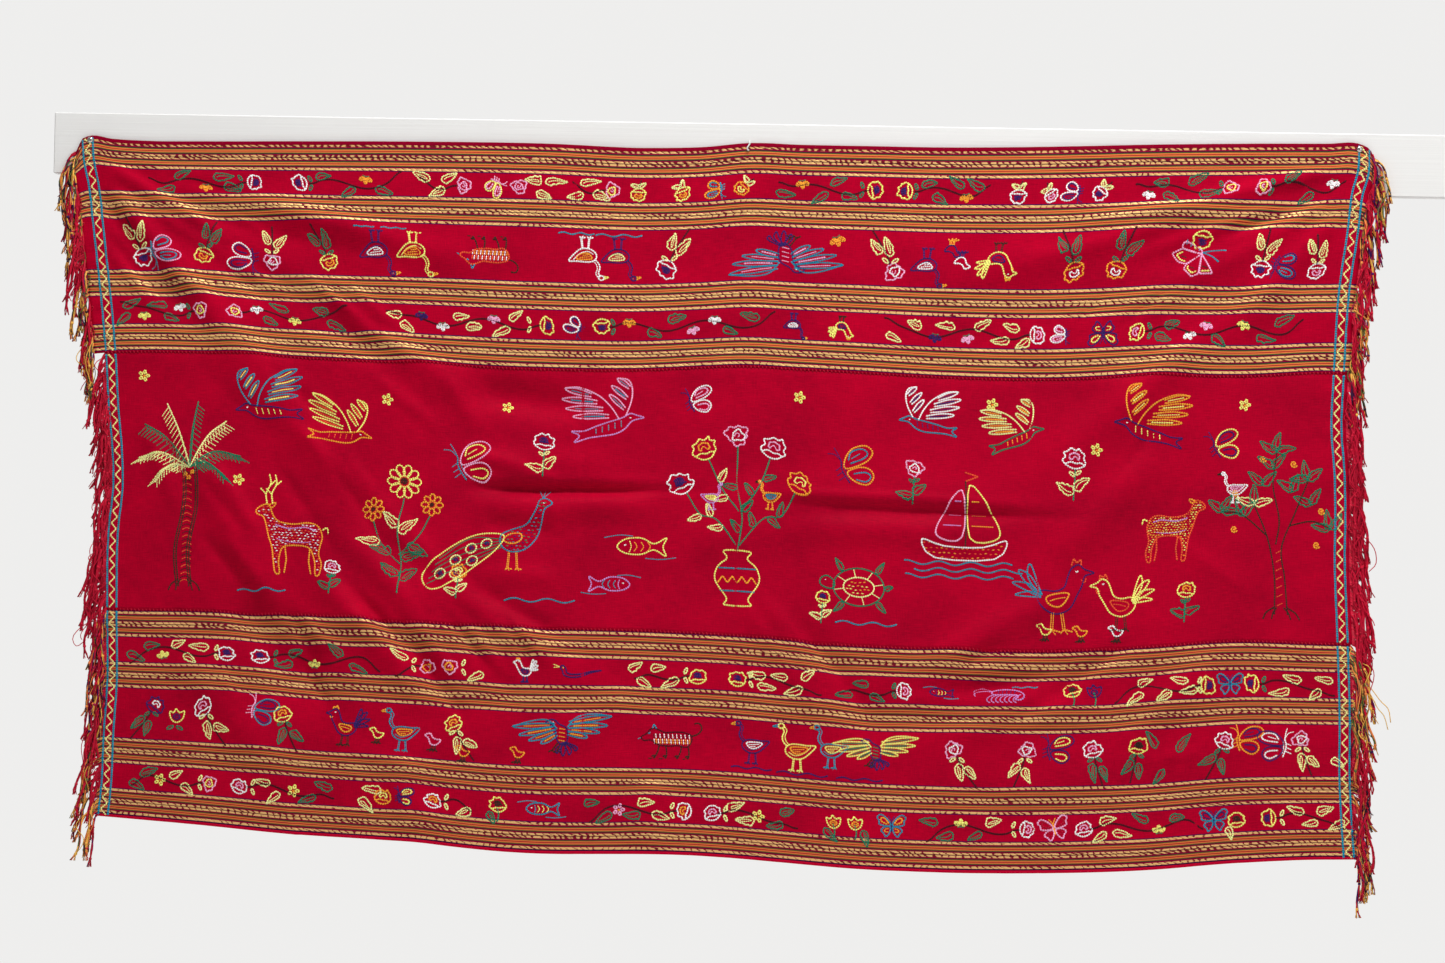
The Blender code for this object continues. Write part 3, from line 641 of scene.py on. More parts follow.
# Embroidery: chain stitch, each link two legs of yarn. Motifs are drawn in millimetres, x right and y up.
yarn = dict(
    pitch=3.6,                 # length of one link
    width=1.35,                # across the two legs, middle to middle
    legRadius=0.76,
    finePitch=3.2,
    fineWidth=0.90,
    fineRadius=0.52,
    lift=0.0006,               # the weave's front over its middle
    sunk=0.0001,               # how far each leg sinks into it
    lightness=1.36,
    hues=dict(
        white=linear(250, 244, 246), pink=linear(220, 158, 192), cream=linear(255, 222, 116),
        straw=linear(255, 214, 140), lime=linear(220, 230, 150), green=linear(0, 116, 86),
        teal=linear(0, 130, 158), navy=linear(44, 20, 92), orange=linear(244, 152, 44),
        maroon=linear(74, 0, 20), brown=linear(52, 30, 22), lilac=linear(186, 128, 190),
        rust=linear(212, 78, 40), crimson=linear(162, 4, 40),
    ),
)
sewn = {}                      # hue and kind of stitch, to a list of flat lines in metres


def sew(hue, line, fine=False):
    sewn.setdefault((hue, fine), []).append(np.asarray(line, float))


def curve(points, closed=False, steps=6, doubled=False):
    # Catmull-Rom curve: each stretch is the cubic through its two ends with slopes from their neighbours
    p = np.asarray(points, float)
    if closed:
        p = np.concatenate([p[-1:], p, p[:2]])
    elif doubled:
        p = np.concatenate([p[:1], p, p[-1:]])
    else:
        p = np.concatenate([2 * p[:1] - p[1:2], p, 2 * p[-1:] - p[-2:-1]])
    f = (np.arange(steps) / steps)[None, :, None]
    a, b, c, d = (p[i: len(p) - 3 + i, None] for i in range(4))
    line = 0.5 * (2 * b + (c - a) * f + (2 * a - 5 * b + 4 * c - d) * f**2 + (3 * b - a - 3 * c + d) * f**3)
    return np.concatenate([line.reshape(-1, p.shape[1]), p[-2:-1]])


def ring(x, y, rx, ry=None, start=0, end=360, turn=0):
    # part of an ellipse, from one angle to another
    angle = np.radians(np.linspace(start, end, max(8, int(abs(end - start) / 15))))
    px, py = rx * np.cos(angle), (ry or rx) * np.sin(angle)
    c, s = math.cos(math.radians(turn)), math.sin(math.radians(turn))
    return np.stack([x + c * px - s * py, y + s * px + c * py], axis=-1)


def scallops(x, y, radius, count, depth, start=0, end=360, squash=1.0):
    # an ellipse whose edge swells out into round petals
    angle = np.linspace(start, end, count * 6 + 1)
    swell = 1 - depth + depth * np.abs(np.sin(np.radians((angle - start) * 180 * count / (end - start))))
    angle = np.radians(angle)
    reach = radius * swell
    return np.stack([x + reach * np.cos(angle), y + squash * reach * np.sin(angle)], axis=-1)


def coil(x, y, radius, gap=2.6, squash=1.0):
    # a spiral that fills a round spot
    turns = max(radius / gap, 0.6)
    f = np.linspace(0.12, 1, int(14 * turns) + 4)
    angle = 2 * math.pi * turns * f
    return np.stack([x + radius * f * np.cos(angle), y + radius * squash * f * np.sin(angle)], axis=-1)


class Place:
    # where a motif goes: flat metres of its own origin, then its size, its turn in degrees and its mirroring
    def __init__(self, across, down, size=1.0, turn=0.0, mirror=False):
        self.origin = across, down
        self.size = size
        self.angle = math.radians(turn)
        self.side = -1.0 if mirror else 1.0

    def flat(self, line):
        x, y = (np.asarray(line, float) * self.size * 0.001).T
        x = x * self.side
        c, s = math.cos(self.angle), math.sin(self.angle)
        return np.stack([self.origin[0] + c * x - s * y, self.origin[1] - (s * x + c * y)], axis=-1)

    def sew(self, hue, line, fine=False):
        sew(hue, self.flat(line), fine)

    def at(self, x, y, size=1.0, turn=0.0, mirror=False):
        # a place inside this one
        inner = Place(0, 0)
        inner.origin = tuple(self.flat([[x, y]])[0])
        inner.size = self.size * size
        inner.angle = self.angle + self.side * math.radians(turn)
        inner.side = self.side * (-1.0 if mirror else 1.0)
        return inner


# A leaf's edge and vein, in hundredths of its length and width: out along one side and back along the other
leafEdge = table("""0 0, 8 24, 22 50, 34 34, 47 48, 60 26, 72 33, 86 12, 103 2,
86 -14, 72 -30, 61 -20, 48 -45, 35 -30, 22 -48, 8 -24, 0 0""", unit=0.01)
leafVein = table("14 0, 34 12, 62 8, 84 0, 56 -10, 30 -12, 14 0", unit=0.01)


def leafMotif(place, hue, length=22.0, width=11.0):
    # the edge and a narrow inner loop, both bent along the leaf; each point of the edge is a little off
    bend = chance.uniform(-0.26, 0.26)
    lopsided = chance.uniform(0.74, 1.30)
    wide = width > 15
    for line, fine in ((leafEdge, False), (leafVein if wide else leafVein[:4], True)):
        uneven = chance.normal(0.0, 0.026, line.shape)
        uneven[0] = uneven[-1] = 0.0
        x, y = (line + uneven).T
        y = np.where(y > 0, y * lopsided, y / lopsided) * width
        place.sew(hue, np.stack([x * length, y + bend * x * x * length], axis=-1), fine)


def budMotif(place, hue, length=9.0):
    place.sew(hue, ring(length / 2, 0, length / 2, length * 0.19))


petals = table("""-92 40, -110 78, -82 104, -98 144, -52 152, -22 184, 16 160, 52 182, 66 140, 104 130, 84 96,
110 70, 86 36""", unit=0.01)


def roseMotif(place, outer, inner, radius=12.0):
    # stands on its stem, which comes from below: a crown of uneven petals, a rim of two lines, and a heart
    def line(hue, points, steps, fine=False):
        place.sew(hue, curve(np.array(points) * radius, steps=steps), fine)

    r = radius
    lopsided = chance.uniform(-0.22, 0.22)
    crown = petals + chance.normal(0.0, 0.055, (len(petals), 2))
    crown[:, 0] += lopsided * (crown[:, 1] - 0.5)
    line(outer, crown, 3)
    line(outer, [crown[0], (-0.44, 0.08), (0.0, 0.0), (0.46, 0.10), crown[-1]], 4)
    line(outer, [crown[0], (-0.4, 0.60), (0.1, 0.46), (0.5, 0.56), crown[-1]], 4)
    if inner in ("navy", "brown", "maroon"):
        place.sew(inner, coil(lopsided * r * 0.5, r * 1.04, r * 0.50, 2.5, 0.72))
        line(inner, [(-0.50, 0.82), (-0.2, 0.92), (0.2, 0.88), (0.50, 0.80)], 3)
    else:
        place.sew(inner, scallops(lopsided * r * 0.5, r * 1.04, r * 0.56, 5, 0.3, -50, 230, 0.72))
        line(inner, [(-0.34, 0.74), (0.0, 1.12), (0.34, 0.74)], 4, True)


def fullRoseMotif(place, outer, inner, radius=12.0):
    # seen half from above: an uneven ring of petals, a smaller one off its middle, and a hooked heart
    r = radius
    turn = chance.uniform(0, 60)
    aside = chance.uniform(-0.14, 0.14)
    for hue, size, lobes, x, y in ((outer, 1.02, 8, 0.0, 0.96), (inner, 0.58, 5, aside, 0.92)):
        edge = scallops(0, 0, r * size, lobes, 0.26, turn, turn + 360, 0.86)
        swell = 1 + 0.16 * np.sin(np.linspace(0, 6 * math.pi, len(edge)) + turn)
        place.sew(hue, edge * swell[:, None] + (x * r, y * r))
        turn += 30
    heart = np.array([(-0.24, 0.84), (0.0, 1.14), (0.26, 0.98), (0.08, 0.80)])
    place.sew(outer, curve(heart * r, steps=3), fine=True)


def flowerMotif(place, outer, inner, radius=12.0):
    (fullRoseMotif if outer == "pink" else roseMotif)(place, outer, inner, radius)


def daisyMotif(place, hue, heart, radius, petals):
    for k in range(int(petals)):
        angle = 360 / petals * k
        c, s = math.cos(math.radians(angle)), math.sin(math.radians(angle))
        place.sew(hue, ring(radius * 0.66 * c, radius * 0.66 * s, radius * 0.36, radius * 0.24, turn=angle))
    place.sew(heart, coil(0, 0, radius * 0.22, 2.2))


def sprayMotif(place, leaf, outer, inner, lean):
    # a flower that hangs from a leaning stem between two upright leaves; the place is the flower's middle
    stem = curve([(lean * 0.02, 12), (lean * 0.16, 25), (lean * 0.55, 44), (lean, 64)])
    place.sew("maroon", stem)
    place.sew("maroon", stem + (1.3, 0), fine=True)
    angle = math.degrees(math.atan2(40, lean * 0.8))
    leafMotif(place.at(lean * 0.24 - 5, 31, turn=angle + 24), leaf, 27, 15.5)
    leafMotif(place.at(lean * 0.18 + 5, 25, turn=angle - 26), leaf, 31, 16)
    for side in (-1, 1):
        budMotif(place.at(side * 2.5, 15, turn=90 + side * -54), leaf, 12)
    flowerMotif(place.at(0, 14.5, turn=180 - lean * 0.9), outer, inner, 15)


def seeds(place, outline, hues, gap):
    # short stitches scattered inside an outline; a point is inside if a line from it crosses the edge an odd
    # number of times
    low, high = outline.min(axis=0), outline.max(axis=0)
    ax, ay = outline[:, 0], outline[:, 1]
    bx, by = np.roll(ax, -1), np.roll(ay, -1)
    for r, y in enumerate(np.arange(low[1] + gap / 2, high[1], gap * 0.8)):
        for x in np.arange(low[0] + gap / 2 * (r % 2), high[0], gap):
            x0, y0 = x + chance.uniform(-1, 1), y + chance.uniform(-1, 1)
            cuts = (ay > y0) != (by > y0)
            with np.errstate(divide="ignore", invalid="ignore"):
                at = ax + (y0 - ay) / (by - ay) * (bx - ax)
            if np.sum(cuts & (x0 < at)) % 2 and np.min(np.hypot(ax - x0, ay - y0)) > 2.6:
                hue = hues[int(chance.integers(len(hues)))]
                angle = chance.uniform(-0.5, 0.5)
                place.sew(hue, [(x0 - 1.7, y0 - angle), (x0 + 1.7, y0 + angle)], fine=True)


def legs(place, hues, topX, topY, *feet):
    # two lines to each foot, and a foot of three toes
    for x, y in np.reshape(feet, (-1, 2)):
        for dx in (-0.9, 0.9):
            place.sew(hues[0], [(x * 0.75 + topX * 0.25 + dx, topY), (x + dx, y + 1)], fine=True)
        place.sew(hues[0], [(x - 7, y - 1), (x, y + 1), (x + 3, y - 2)])
        place.sew(hues[0], [(x, y + 1), (x - 3, y - 3)], fine=True)


def feathers(place, hues, spread, *points):
    # a wing as a fan of narrow pointed loops from a short root line; every loop has a line down its middle
    root, last, *tips = np.reshape(points, (-1, 2))
    for k, tip in enumerate(tips):
        base = root + (last - root) * k / (len(tips) - 1)
        along = tip - base
        aside = np.array([-along[1], along[0]]) / np.linalg.norm(along) * spread
        loop = [base + aside * 0.5, base + along * 0.55 + aside, tip, base + along * 0.6 - aside * 0.8,
                base - aside * 0.5]
        place.sew(hues[0], curve(loop, steps=3))
        place.sew(hues[1], [base + along * 0.12, base + along * 0.74], fine=k % 2 == 0)


def cell(place, hues, *points):
    # part of a wing: a straight closed edge, a smaller open one inside it and a short line at its middle
    edge = np.reshape(points, (-1, 2))
    middle = edge.mean(axis=0)
    place.sew(hues[0], np.concatenate([edge, edge[:1]]))
    place.sew(hues[1], (middle + (edge - middle) * 0.62)[1:])
    place.sew("brown", [middle + (-4, 1), middle + (4, -2)], fine=True)


def coat(place, hues, start, end):
    # two rows of short stitches, in other hues at every second step
    for k, x in enumerate(range(int(start), int(end), 3)):
        upper, lower = (hues[1], "orange") if k % 2 else hues
        place.sew(upper, [(x, 10), (x + 1, 4)], fine=True)
        place.sew(lower, [(x + 1, 3), (x + 2, -4)], fine=True)


def leafy(place, hues, *points):
    # a stem with leaves by turns to its two sides
    line = curve(np.reshape(points, (-1, 2)), steps=8)
    place.sew(hues[0], line)
    for at in range(5, len(line) - 5, 5):
        run = line[at + 1] - line[at]
        angle = math.degrees(math.atan2(run[1], run[0]))
        side = 1 if (at // 5) % 2 else -1
        leafMotif(place.at(*line[at], turn=angle + side * 55), hues[1], 22, 11)


def spokes(place, hues, count, start, *radii):
    # fine lines from an inner ellipse to an outer one
    for k in range(int(count)):
        angle = k * 2 * math.pi / count + start
        ends = np.reshape(radii, (2, 2)) * (math.cos(angle), math.sin(angle))
        place.sew(hues[0], ends, fine=True)


def wave(place, hues, start, end, step, y, height, length):
    x = np.arange(start, end, step)
    place.sew(hues[0], np.stack([x, y + height * np.sin(x / length)], axis=-1))


def palm(place, hues):
    draw(place, "trunk", ())
    for k, y in enumerate(range(8, 186, 6)):
        bend = 4 * math.sin(y / 38)
        place.sew(("rust", "maroon")[k % 2], [(bend - 8, y), (bend, y + 4), (bend + 8, y)], fine=True)
    tips = ((-84, 208), (-70, 262), (-30, 296), (22, 300), (66, 270), (86, 214), (-58, 168), (62, 172))
    for k, (x, y) in enumerate(tips):
        frond = curve([(2, 192), (x * 0.5, 190 + (y - 150) * 0.45), (x, y)], steps=7)
        hue = "green" if k % 2 else "lime"
        place.sew(hue, frond)
        run = frond[-1] - frond[0]
        for at in range(2, len(frond) - 1):
            for side in (-1, 1):
                tip = frond[at] + (x * 0.14 + side * 8, -12 + side * run[1] * 0.03)
                place.sew(hue, [frond[at], tip], fine=True)
    for x, y in ((-6, 182), (7, 184), (0, 176)):
        place.sew("orange", coil(x, y, 4.2, 2.6))


def orchard(place, hues):
    draw(place, "boughs", ())
    tips = ((-34, 152), (40, 184), (0, 224), (-78, 142), (70, 118), (-22, 178), (18, 168), (-50, 136), (44, 150),
            (-6, 200))
    for k, (x, y) in enumerate(tips):
        for turn in (20, 90, 160) if k < 5 else (60, 130):
            hue = "lime" if k == 0 and turn != 90 else "green"
            leafMotif(place.at(x, y, turn=turn + x * 0.3), hue, 26, 13)
    for x, y in ((-60, 168), (58, 142), (22, 206), (-20, 214), (-62, 118), (52, 96)):
        place.sew("orange", coil(x, y, 5.0, 2.6))
    draw(place.at(-62, 172, 0.6), "duck", ("white", "pink", "brown"))


# Each drawing: the names of its hues, with the usual one where it may be left out, then its rows. A row is one
# hue or several, the word fine for thin yarn, a manner, and numbers in millimetres. The manners c and o are an
# open and a closed curve, with their steps from point to point. A drawing inside another has x, y, size, turn
# and mirror; leaf, oval, flower and daisy have x, y, turn and their sizes. "again" repeats a line evenly.
drawings = dict(
    butterfly=("wing trim body", """
wing o4 1 2 5 11 15 18 28 18 33 11 25 4 10 1
wing o4 3 -2 14 0 24 -3 27 -11 19 -18 9 -14 3 -7
trim c4 7 8 12 15 23 16 28 11 22 7 8 5
trim c4 8 -5 20 -6 24 -11 18 -15 9 -11
trim fine line 10 9 20 12
body c4 0 9 -2 0 2 -13
body fine c4 2 7 1 0 3 -9
body fine c3 0 9 -4.4 16 -11 18
body fine c3 0 9 -1.2 16 -3 22
body fine line -1 4 -8 1 again 3 0 -5"""),
    halfMoth=("wing trim body", """
wing o3 1 2 7 13 19 22 27 16 22 10 24 4 12 1
wing o3 2 -1 13 -1 20 -8 14 -13 12 -20 4 -12
trim c3 5 5 11 14 19 16 19 9 8 4
trim fine c3 5 -4 12 -5 13 -10 6 -10
body fine c3 0 9 3 15 6 19"""),
    moth=("wing trim body", """
wing/trim/body halfMoth 0 0
wing/trim/body halfMoth 0 0 1 0 1
body line -0.6 -10 -0.6 9
body fine line 0.9 -8 0.9 7"""),
    great=("wing trim body", """
wing o3 -18 22 -14 29 0 25 13 18 14 12 0 15 -14 19
body fine line -12 25.4 -11 31.4 again 4 7 -3.15
wing/trim cell 14 12 -17 20 -33 12 -22 -1 -9 -5
wing/trim cell 14 12 -9 -6 -12 -13 1 -26 12 -21
wing/trim cell 14 12 13 -21 34 -20
body c4 15 14 30 16.5 50 17
body coil 50 17 1.8 1.8
body c4 15 14 30 7.5 40 -1
body coil 40 -1 1.8 1.8"""),
    duck=("body wing foot eye=white", """
body o3 32 11 18 11 4 12 -8 11 -15 5 -14 -3 -4 -10 10 -10 20 -3
body fine c3 24 9 14 -1 0 -6 -10 -1
body c3 -13 8 -19 14 -21 22 -18 30 -22 36
body fine c3 -8.8 9.26 -14.8 15.26 -16.8 23.26 -13.8 31.26 -17.8 37.26
body ring -23 38 5 4
foot line -27 40 -37 36 -27 36
wing o3 -8 6 6 8 20 7 12 -1 0 -3
wing fine c3 -4 3 6 4 14 5
wing fine c3 -1 0 8 1
eye fine coil -23 38.5 1.6 1.6
body legs 3 -10 -3 -28 10 -28"""),
    hen=("body wing comb foot tail=body", """
body o3 -19 11 -14 2 -8 -8 3 -12 13 -8 18 0 14 7 4 6 -4 9 -7 17 -10 24 -16 27 -21 23 -29 20 -21 18
wing o3 -8 4 2 4 11 1 8 -5 -1 -6
wing fine c3 -5 1 2 0 8 -2
comb line -18 26 -18 31 -14 28 -12 32 -10 26
comb fine line -22 16 -21 12 -18 15
tail c3 14 3 20.2 21.98 24 29 25.2 17.98 15 1
tail c3 14 3 22.9 18.88 33 24 27.9 14.88 15 1
tail c3 14 3 24.4 12.68 38 14 29.4 8.68 15 1
tail c3 14 3 23.8 6.48 36 4 28.8 2.48 15 1
white fine coil -15 22 1.5 1.5
foot legs 3 -11 -3 -25 7 -25"""),
    chick=("body foot", """
body o3 -6 4 -3 -4 5 -5 12 3 5 3 -1 6 -3 11 -8 10 -12 8
foot legs 2 -5 -1 -12 4 -12"""),
    soar=("wing trim body foot=brown", """
wing/trim feathers 4.4 -12 17 -8 2 -80 12 -70 -1 -53 -9 -34 -13
wing/trim feathers 4.4 10 19 9 3 78 30 73 16 60 5 42 -3
wing c4 -8 10 -24 24 -50 22 -80 12
wing c4 8 12 22 28 48 33 78 30
body o3 -12 24 -6 18 6 12 10 0 8 -12 0 -14 -8 -6 -10 6 -14 15 -20 18 -28 20 -20 25
trim fine line -5 11 5 9 again 4 0 -6
body c3 2 -11 -9 -20.8 -6 -28 -2 -20.8 6 -10
body c3 2 -11 0 -23.2 3 -32 7 -23.2 6 -10
body c3 2 -11 10 -22 13 -30 17 -22 6 -10
body c3 2 -11 19 -18.4 22 -24 26 -18.4 6 -10
white fine coil -16 21 1.5 1.5
foot line -5.6 -11 -14 -22
foot line -20 -25 -14 -22 -10 -26
foot line -2 -11 -5 -22
foot line -11 -25 -5 -22 -1 -26"""),
    fly=("wing body trim", """
body o3 -44 9 -35 13 -28 16 -19 12 0 8 17 4 31 0 47 1 37 -5 46 -13 28 -9 10 -8 -6 -7 -19 -2 -28 6 -36 8
wing/trim feathers 3.8 16 43 -2 15 48 55 53 44 50 32 43 20
wing/trim feathers 3.4 -31 47 -22 22 -17 60 -9 52 -5 42
wing c4 -14 10 -6 26 8 42 30 54 48 55
wing c4 -22 13 -31 30 -34 46 -30 57 -17 60
trim fine line -16 8.52 -15 0.56
trim fine line -8 6.76 -7 -0.72
trim fine line 0 5 1 -2
trim fine line 8 3.24 9 -3.28
trim fine line 16 1.48 17 -4.56
white fine coil -28 11 1.5 1.5"""),
    beast=("outline patch foot tail", """
outline o3 -38 10 -46 5 -41 0 -31 1 -22 -5 -6 -7 8 -6 20 -8 27 0 26 9 14 13 0 13 -12 12 -24 17 -32 17
outline/patch coat -28 25
foot c4 -19 -6 -20.5 -14 -24 -22
foot coil -26 -23 3.2 2.2
foot c4 -10 -6 -8 -14 -8 -22
foot coil -10 -23 3.2 2.2
foot c4 13 -6 12 -14 9 -22
foot coil 7 -23 3.2 2.2
foot c4 22 -6 24 -14 24 -22
foot coil 22 -23 3.2 2.2
foot fine line -34 -25 -29 -25
foot fine line -19 -25 -14 -25
foot fine line 15 -25 19 -25
foot c4 26 8 35 11 41 19 37 27 30 26
tail line -30 17 -28 24 -24 17
tail fine coil -35 11 2.2 2
tail fine line -46 4 -50 2"""),
    shrimp=("outline patch", """
outline o3 -12 5 6 8 24 6 34 -1 30 -9 20 -9 26 -3 10 -1 -12 -1
patch fine line -4 1 -3 6 again 5 6 0
outline fine c4 -10 -1 -19 -5 -22 -11 -17 -14 again 7 6.5 0
outline fine c4 -12 4 -26 9 -40 5 -38 0
outline fine c4 -12 4 -26 5 -40 1 -38 -4"""),
    snake=("skin tongue", """
skin c4 -22 11 -27 7 -22 2 -21 -5 -8 -9 10 -7 28 0 46 4
skin c4 -22 11 -16 6 -16 -1 -6 -4 10 -3 28 2 46 4
tongue fine line -27 8 -38 12
tongue fine line -27 8 -38 7
tongue coil -22 7 1.8 1.8"""),
    fish=("outline scale water=teal", """
outline o3 -26 0 -17 8 0 9 13 3 26 10 22 0 26 -10 13 -3 0 -8 -17 -7
scale fine c3 -8 5 -5 0 -8 -5 again 3 7 0
white fine coil -18 2 1.6 1.6
outline fine c3 -13 6 -11 0 -13 -6
water fine c3 -40 9 -24 12 -10 11
water fine c3 4 -12 20 -13 36 -11"""),
    cup=("outer inner", """
outer o4 0 0 -0.75 0.45 -1 1.5 -0.45 1.25 -0.15 1.85 0.35 1.3 1 1.6 0.8 0.5
inner o4 -0.5 0.75 0 1.15 0.5 0.75 0 0.4
inner fine line -0.25 0.8 0.3 0.75"""),
    rose=("outer inner", "outer/inner flower 0 0 0 12.4"),
    star=("petals", "petals/orange daisy 0 0 0 9.5 5"),
    aster=("", "cream/orange daisy 0 0 0 10 5"),
    petal=("hue", """
hue ring 0 6.84 2.592 4.752
hue line 0 3.6 0 10.08"""),
    bloom=("hue", """
hue petal 0 -3.6 1 -56
hue petal 0 -3.6 1 0
hue petal 0 -3.6 1 56
green fine line -5.04 -5.4 0 -3.6 5.04 -5.4"""),
    bud=("hue", """
hue oval 0 -2 -65 11
hue oval 0 2 65 11"""),
    stalk=("hue", "hue c4 0 -11 2 0 -1 11"),
    wave=("hue", "hue wave -40 41 5 0 2.2 6"),
    nod=("leaf outer inner", """
maroon c4 0 10 1 16 4 24
leaf leaf 0 12 40 13 8.5
leaf leaf 0 12 144 13 8.5
outer/inner flower 0 11 180 11"""),
    sprig=("stem leaf outer inner", """
stem c4 0 0 1.2 12 2.8 26 4 38
leaf leaf 0.8 9 152 24 14
leaf leaf 1.2 13 38 24 14
leaf oval 3.2 29 140 9
leaf oval 3.4 31 30 9
outer/inner flower 4 38 -4.8 13"""),
    trunk=("", """
brown c6 -9 0 -13 60 -5 120 -7 190
brown c6 8 0 4 60 12 120 10 190
brown c4 -9.1 12 -20.8 4 -26 -6
brown c4 -4.9 12 -11.2 4 -14 -6
brown c4 4.9 12 11.2 4 14 -6
brown c4 9.1 12 20.8 4 26 -6
brown c6 -13 0 -17 60 -9 120 -11 190
brown c6 12 0 8 60 16 120 14 190"""),
    deer=("outline first second", """
outline o3 -62 97 -58 104 -49 109 -42 108 -35 93 -24 83 0 80 24 84 38 79 45 64 43 50 41 34 46 20 43 1 37 1 \
36 20 31 36 24 45 4 47 -14 44 -19 34 -21 18 -19 1 -26 1 -29 20 -32 42 -38 58 -44 78 -50 90 -58 92
first/second seeds 5.4
lilac c6 -30 78 -8 73 18 76 34 72
lilac fine c6 -26 56 -6 52 16 52 28 54
outline line -12 44 -9 24 -12 2
outline line 27 42 26 22 30 2
cream c3 44 74 52 78 54 69
orange o3 -43 108 -32 113 -37 104
white fine coil -51 101 1.6 1.6"""),
    antler=("hue", """
hue c4 -46 110 -49 126 -42 142 -44 156
hue line -49 125 -58 134
hue line -44 138 -35 147"""),
    stag=("outline first second", """
outline/first/second deer 0 0
cream antler 0 0
cream antler 9 0"""),
    sunflower=("", """
green c6 0 0 5 50 -3 100 2 150
green c6 3 48 -26 76 -42 112
green c6 0 62 28 88 44 124
green leaf 3 22 30 34 17
green leaf 2 28 150 34 17
green leaf 3 58 12 34 17
green leaf -12 64 168 34 17
green leaf 14 76 -12 34 17
lime leaf -30 84 195 34 17
lime leaf -1 96 40 34 17
lime leaf -2 104 145 34 17
cream/brown daisy 2 176 0 26 10
rust ring 2 176 7.8
orange/brown daisy -44 130 0 17 8
rust ring -44 130 5.1
orange/brown daisy 46 142 0 17 8
rust ring 46 142 5.1"""),
    plume=("", """
lime ring 0 0 8.5 6.5 0 360 -35
navy coil 0 0 3.8 2.4"""),
    peacock=("", """
cream o4 12 66 52 64 96 38 128 2 116 -20 84 -6 52 18 22 44
none plume 36 52
none plume 58 44
none plume 80 26
none plume 102 4
none plume 56 26
none plume 80 6
green fine c6 14 60 60 58 104 26
green fine c6 14 57 66 46 109 16
green fine c6 14 54 72 34 114 6
green fine c6 14 51 78 22 119 -4
green fine c6 14 48 84 10 124 -14
teal o3 -56 112 -46 120 -37 117 -33 104 -20 84 0 76 16 66 14 50 0 42 -20 46 -35 62 -41 84 -45 104
navy/green/teal seeds 6.5
orange o3 -12 70 4 68 12 58 -2 54 -14 60
teal fine line -42 120 -52 134
orange fine coil -52 136 2 2
teal fine line -42 120 -44 134
orange fine coil -44 136 2 2
teal fine line -42 120 -36 134
orange fine coil -36 136 2 2
white fine coil -44 113 1.6 1.6
orange legs -2 43 -10 16 4 16"""),
    urn=("", """
cream o3 -20 0 20 0 15 9 32 34 28 54 14 66 20 76 -20 76 -14 66 -28 54 -32 34 -15 9
orange line -28 31 -21 41 -14 31 -7 41 0 31 7 41 14 31 21 41 28 31
teal line -27 52 27 52
teal line -25 20 25 20
green/green leafy 0 76 4 120 -4 170 0 224
green/lime leafy -2 84 -34 120 -58 128 -78 158
green/green leafy 2 84 34 124 60 130 80 162
green/lime leafy -1 130 -26 164 -44 206
green/green leafy 1 130 28 168 46 210
pink/white flower 0 224 0 17
white/navy flower -80 158 24 17
orange/cream flower 82 162 -24.6 17
cream/orange flower -46 206 13.8 17
white/pink flower 48 210 -14.4 17
lilac/cream/brown duck -40 150 0.55 0 1
orange/teal/brown duck 42 154 0.55"""),
    turtle=("", """
green ring 0 0 38 27
lime ring 0 0 23 14
lime spokes 8 0.2 23 14 37 26
none ring 0 0 21 12
orange/cream seeds 6.5
green o3 -36 6 -46 14 -56 10 -57 1 -46 -4 -37 -3
green leaf -24 22 125 20 9
green leaf 26 20 50 20 9
green leaf -24 -22 -125 20 9
green leaf 26 -20 -50 20 9
green leaf 38 0 0 13 9
white fine coil -50 8 1.4 1.5"""),
    boat=("", """
white o3 -66 14 -30 5 30 5 66 16 48 -12 -44 -12
orange/rust seeds 8
brown line 2 6 2 104
cream o4 8 98 40 60 54 20 8 18
pink o4 -4 90 -34 54 -44 20 -4 18
orange fine line 10 36 44.08 36
lilac fine line -6 36 -34 36
orange fine line 10 54 32.92 54
lilac fine line -6 54 -25 54
orange fine line 10 72 21.76 72
lilac fine line -6 72 -16 72
rust line 2 104 22 112 2 118
teal wave -92 78 6 -20 3 8
teal wave -76 94 6 -30 3 8
teal wave -90 80 6 -40 3 8"""),
    boughs=("", """
brown c6 -8 0 -6 50 -14 100 -34 150
brown c6 10 0 8 50 4 92 22 140 40 182
brown c6 -4 96 0 130 -8 178 0 222
brown c6 -16 108 -52 138 -78 142
brown c6 14 122 46 128 70 118
brown c4 -8.4 10 -19.2 3 -24 -6
brown c4 -4.2 10 -9.6 3 -12 -6
brown c4 4.9 10 11.2 3 14 -6
brown c4 9.1 10 20.8 3 26 -6
rust fine line -4 12 4 16 again 7 0 12"""),
)
placed = dict(leaf=leafMotif, oval=budMotif, flower=flowerMotif, daisy=daisyMotif)
grouped = dict(legs=legs, feathers=feathers, cell=cell, coat=coat, leafy=leafy, spokes=spokes, wave=wave)


def lineOf(manner, numbers):
    if manner in ("ring", "coil"):
        return (ring if manner == "ring" else coil)(*numbers)
    points = np.reshape(numbers, (-1, 2))
    return points if manner == "line" else curve(points, manner[0] == "o", int(manner[1]))


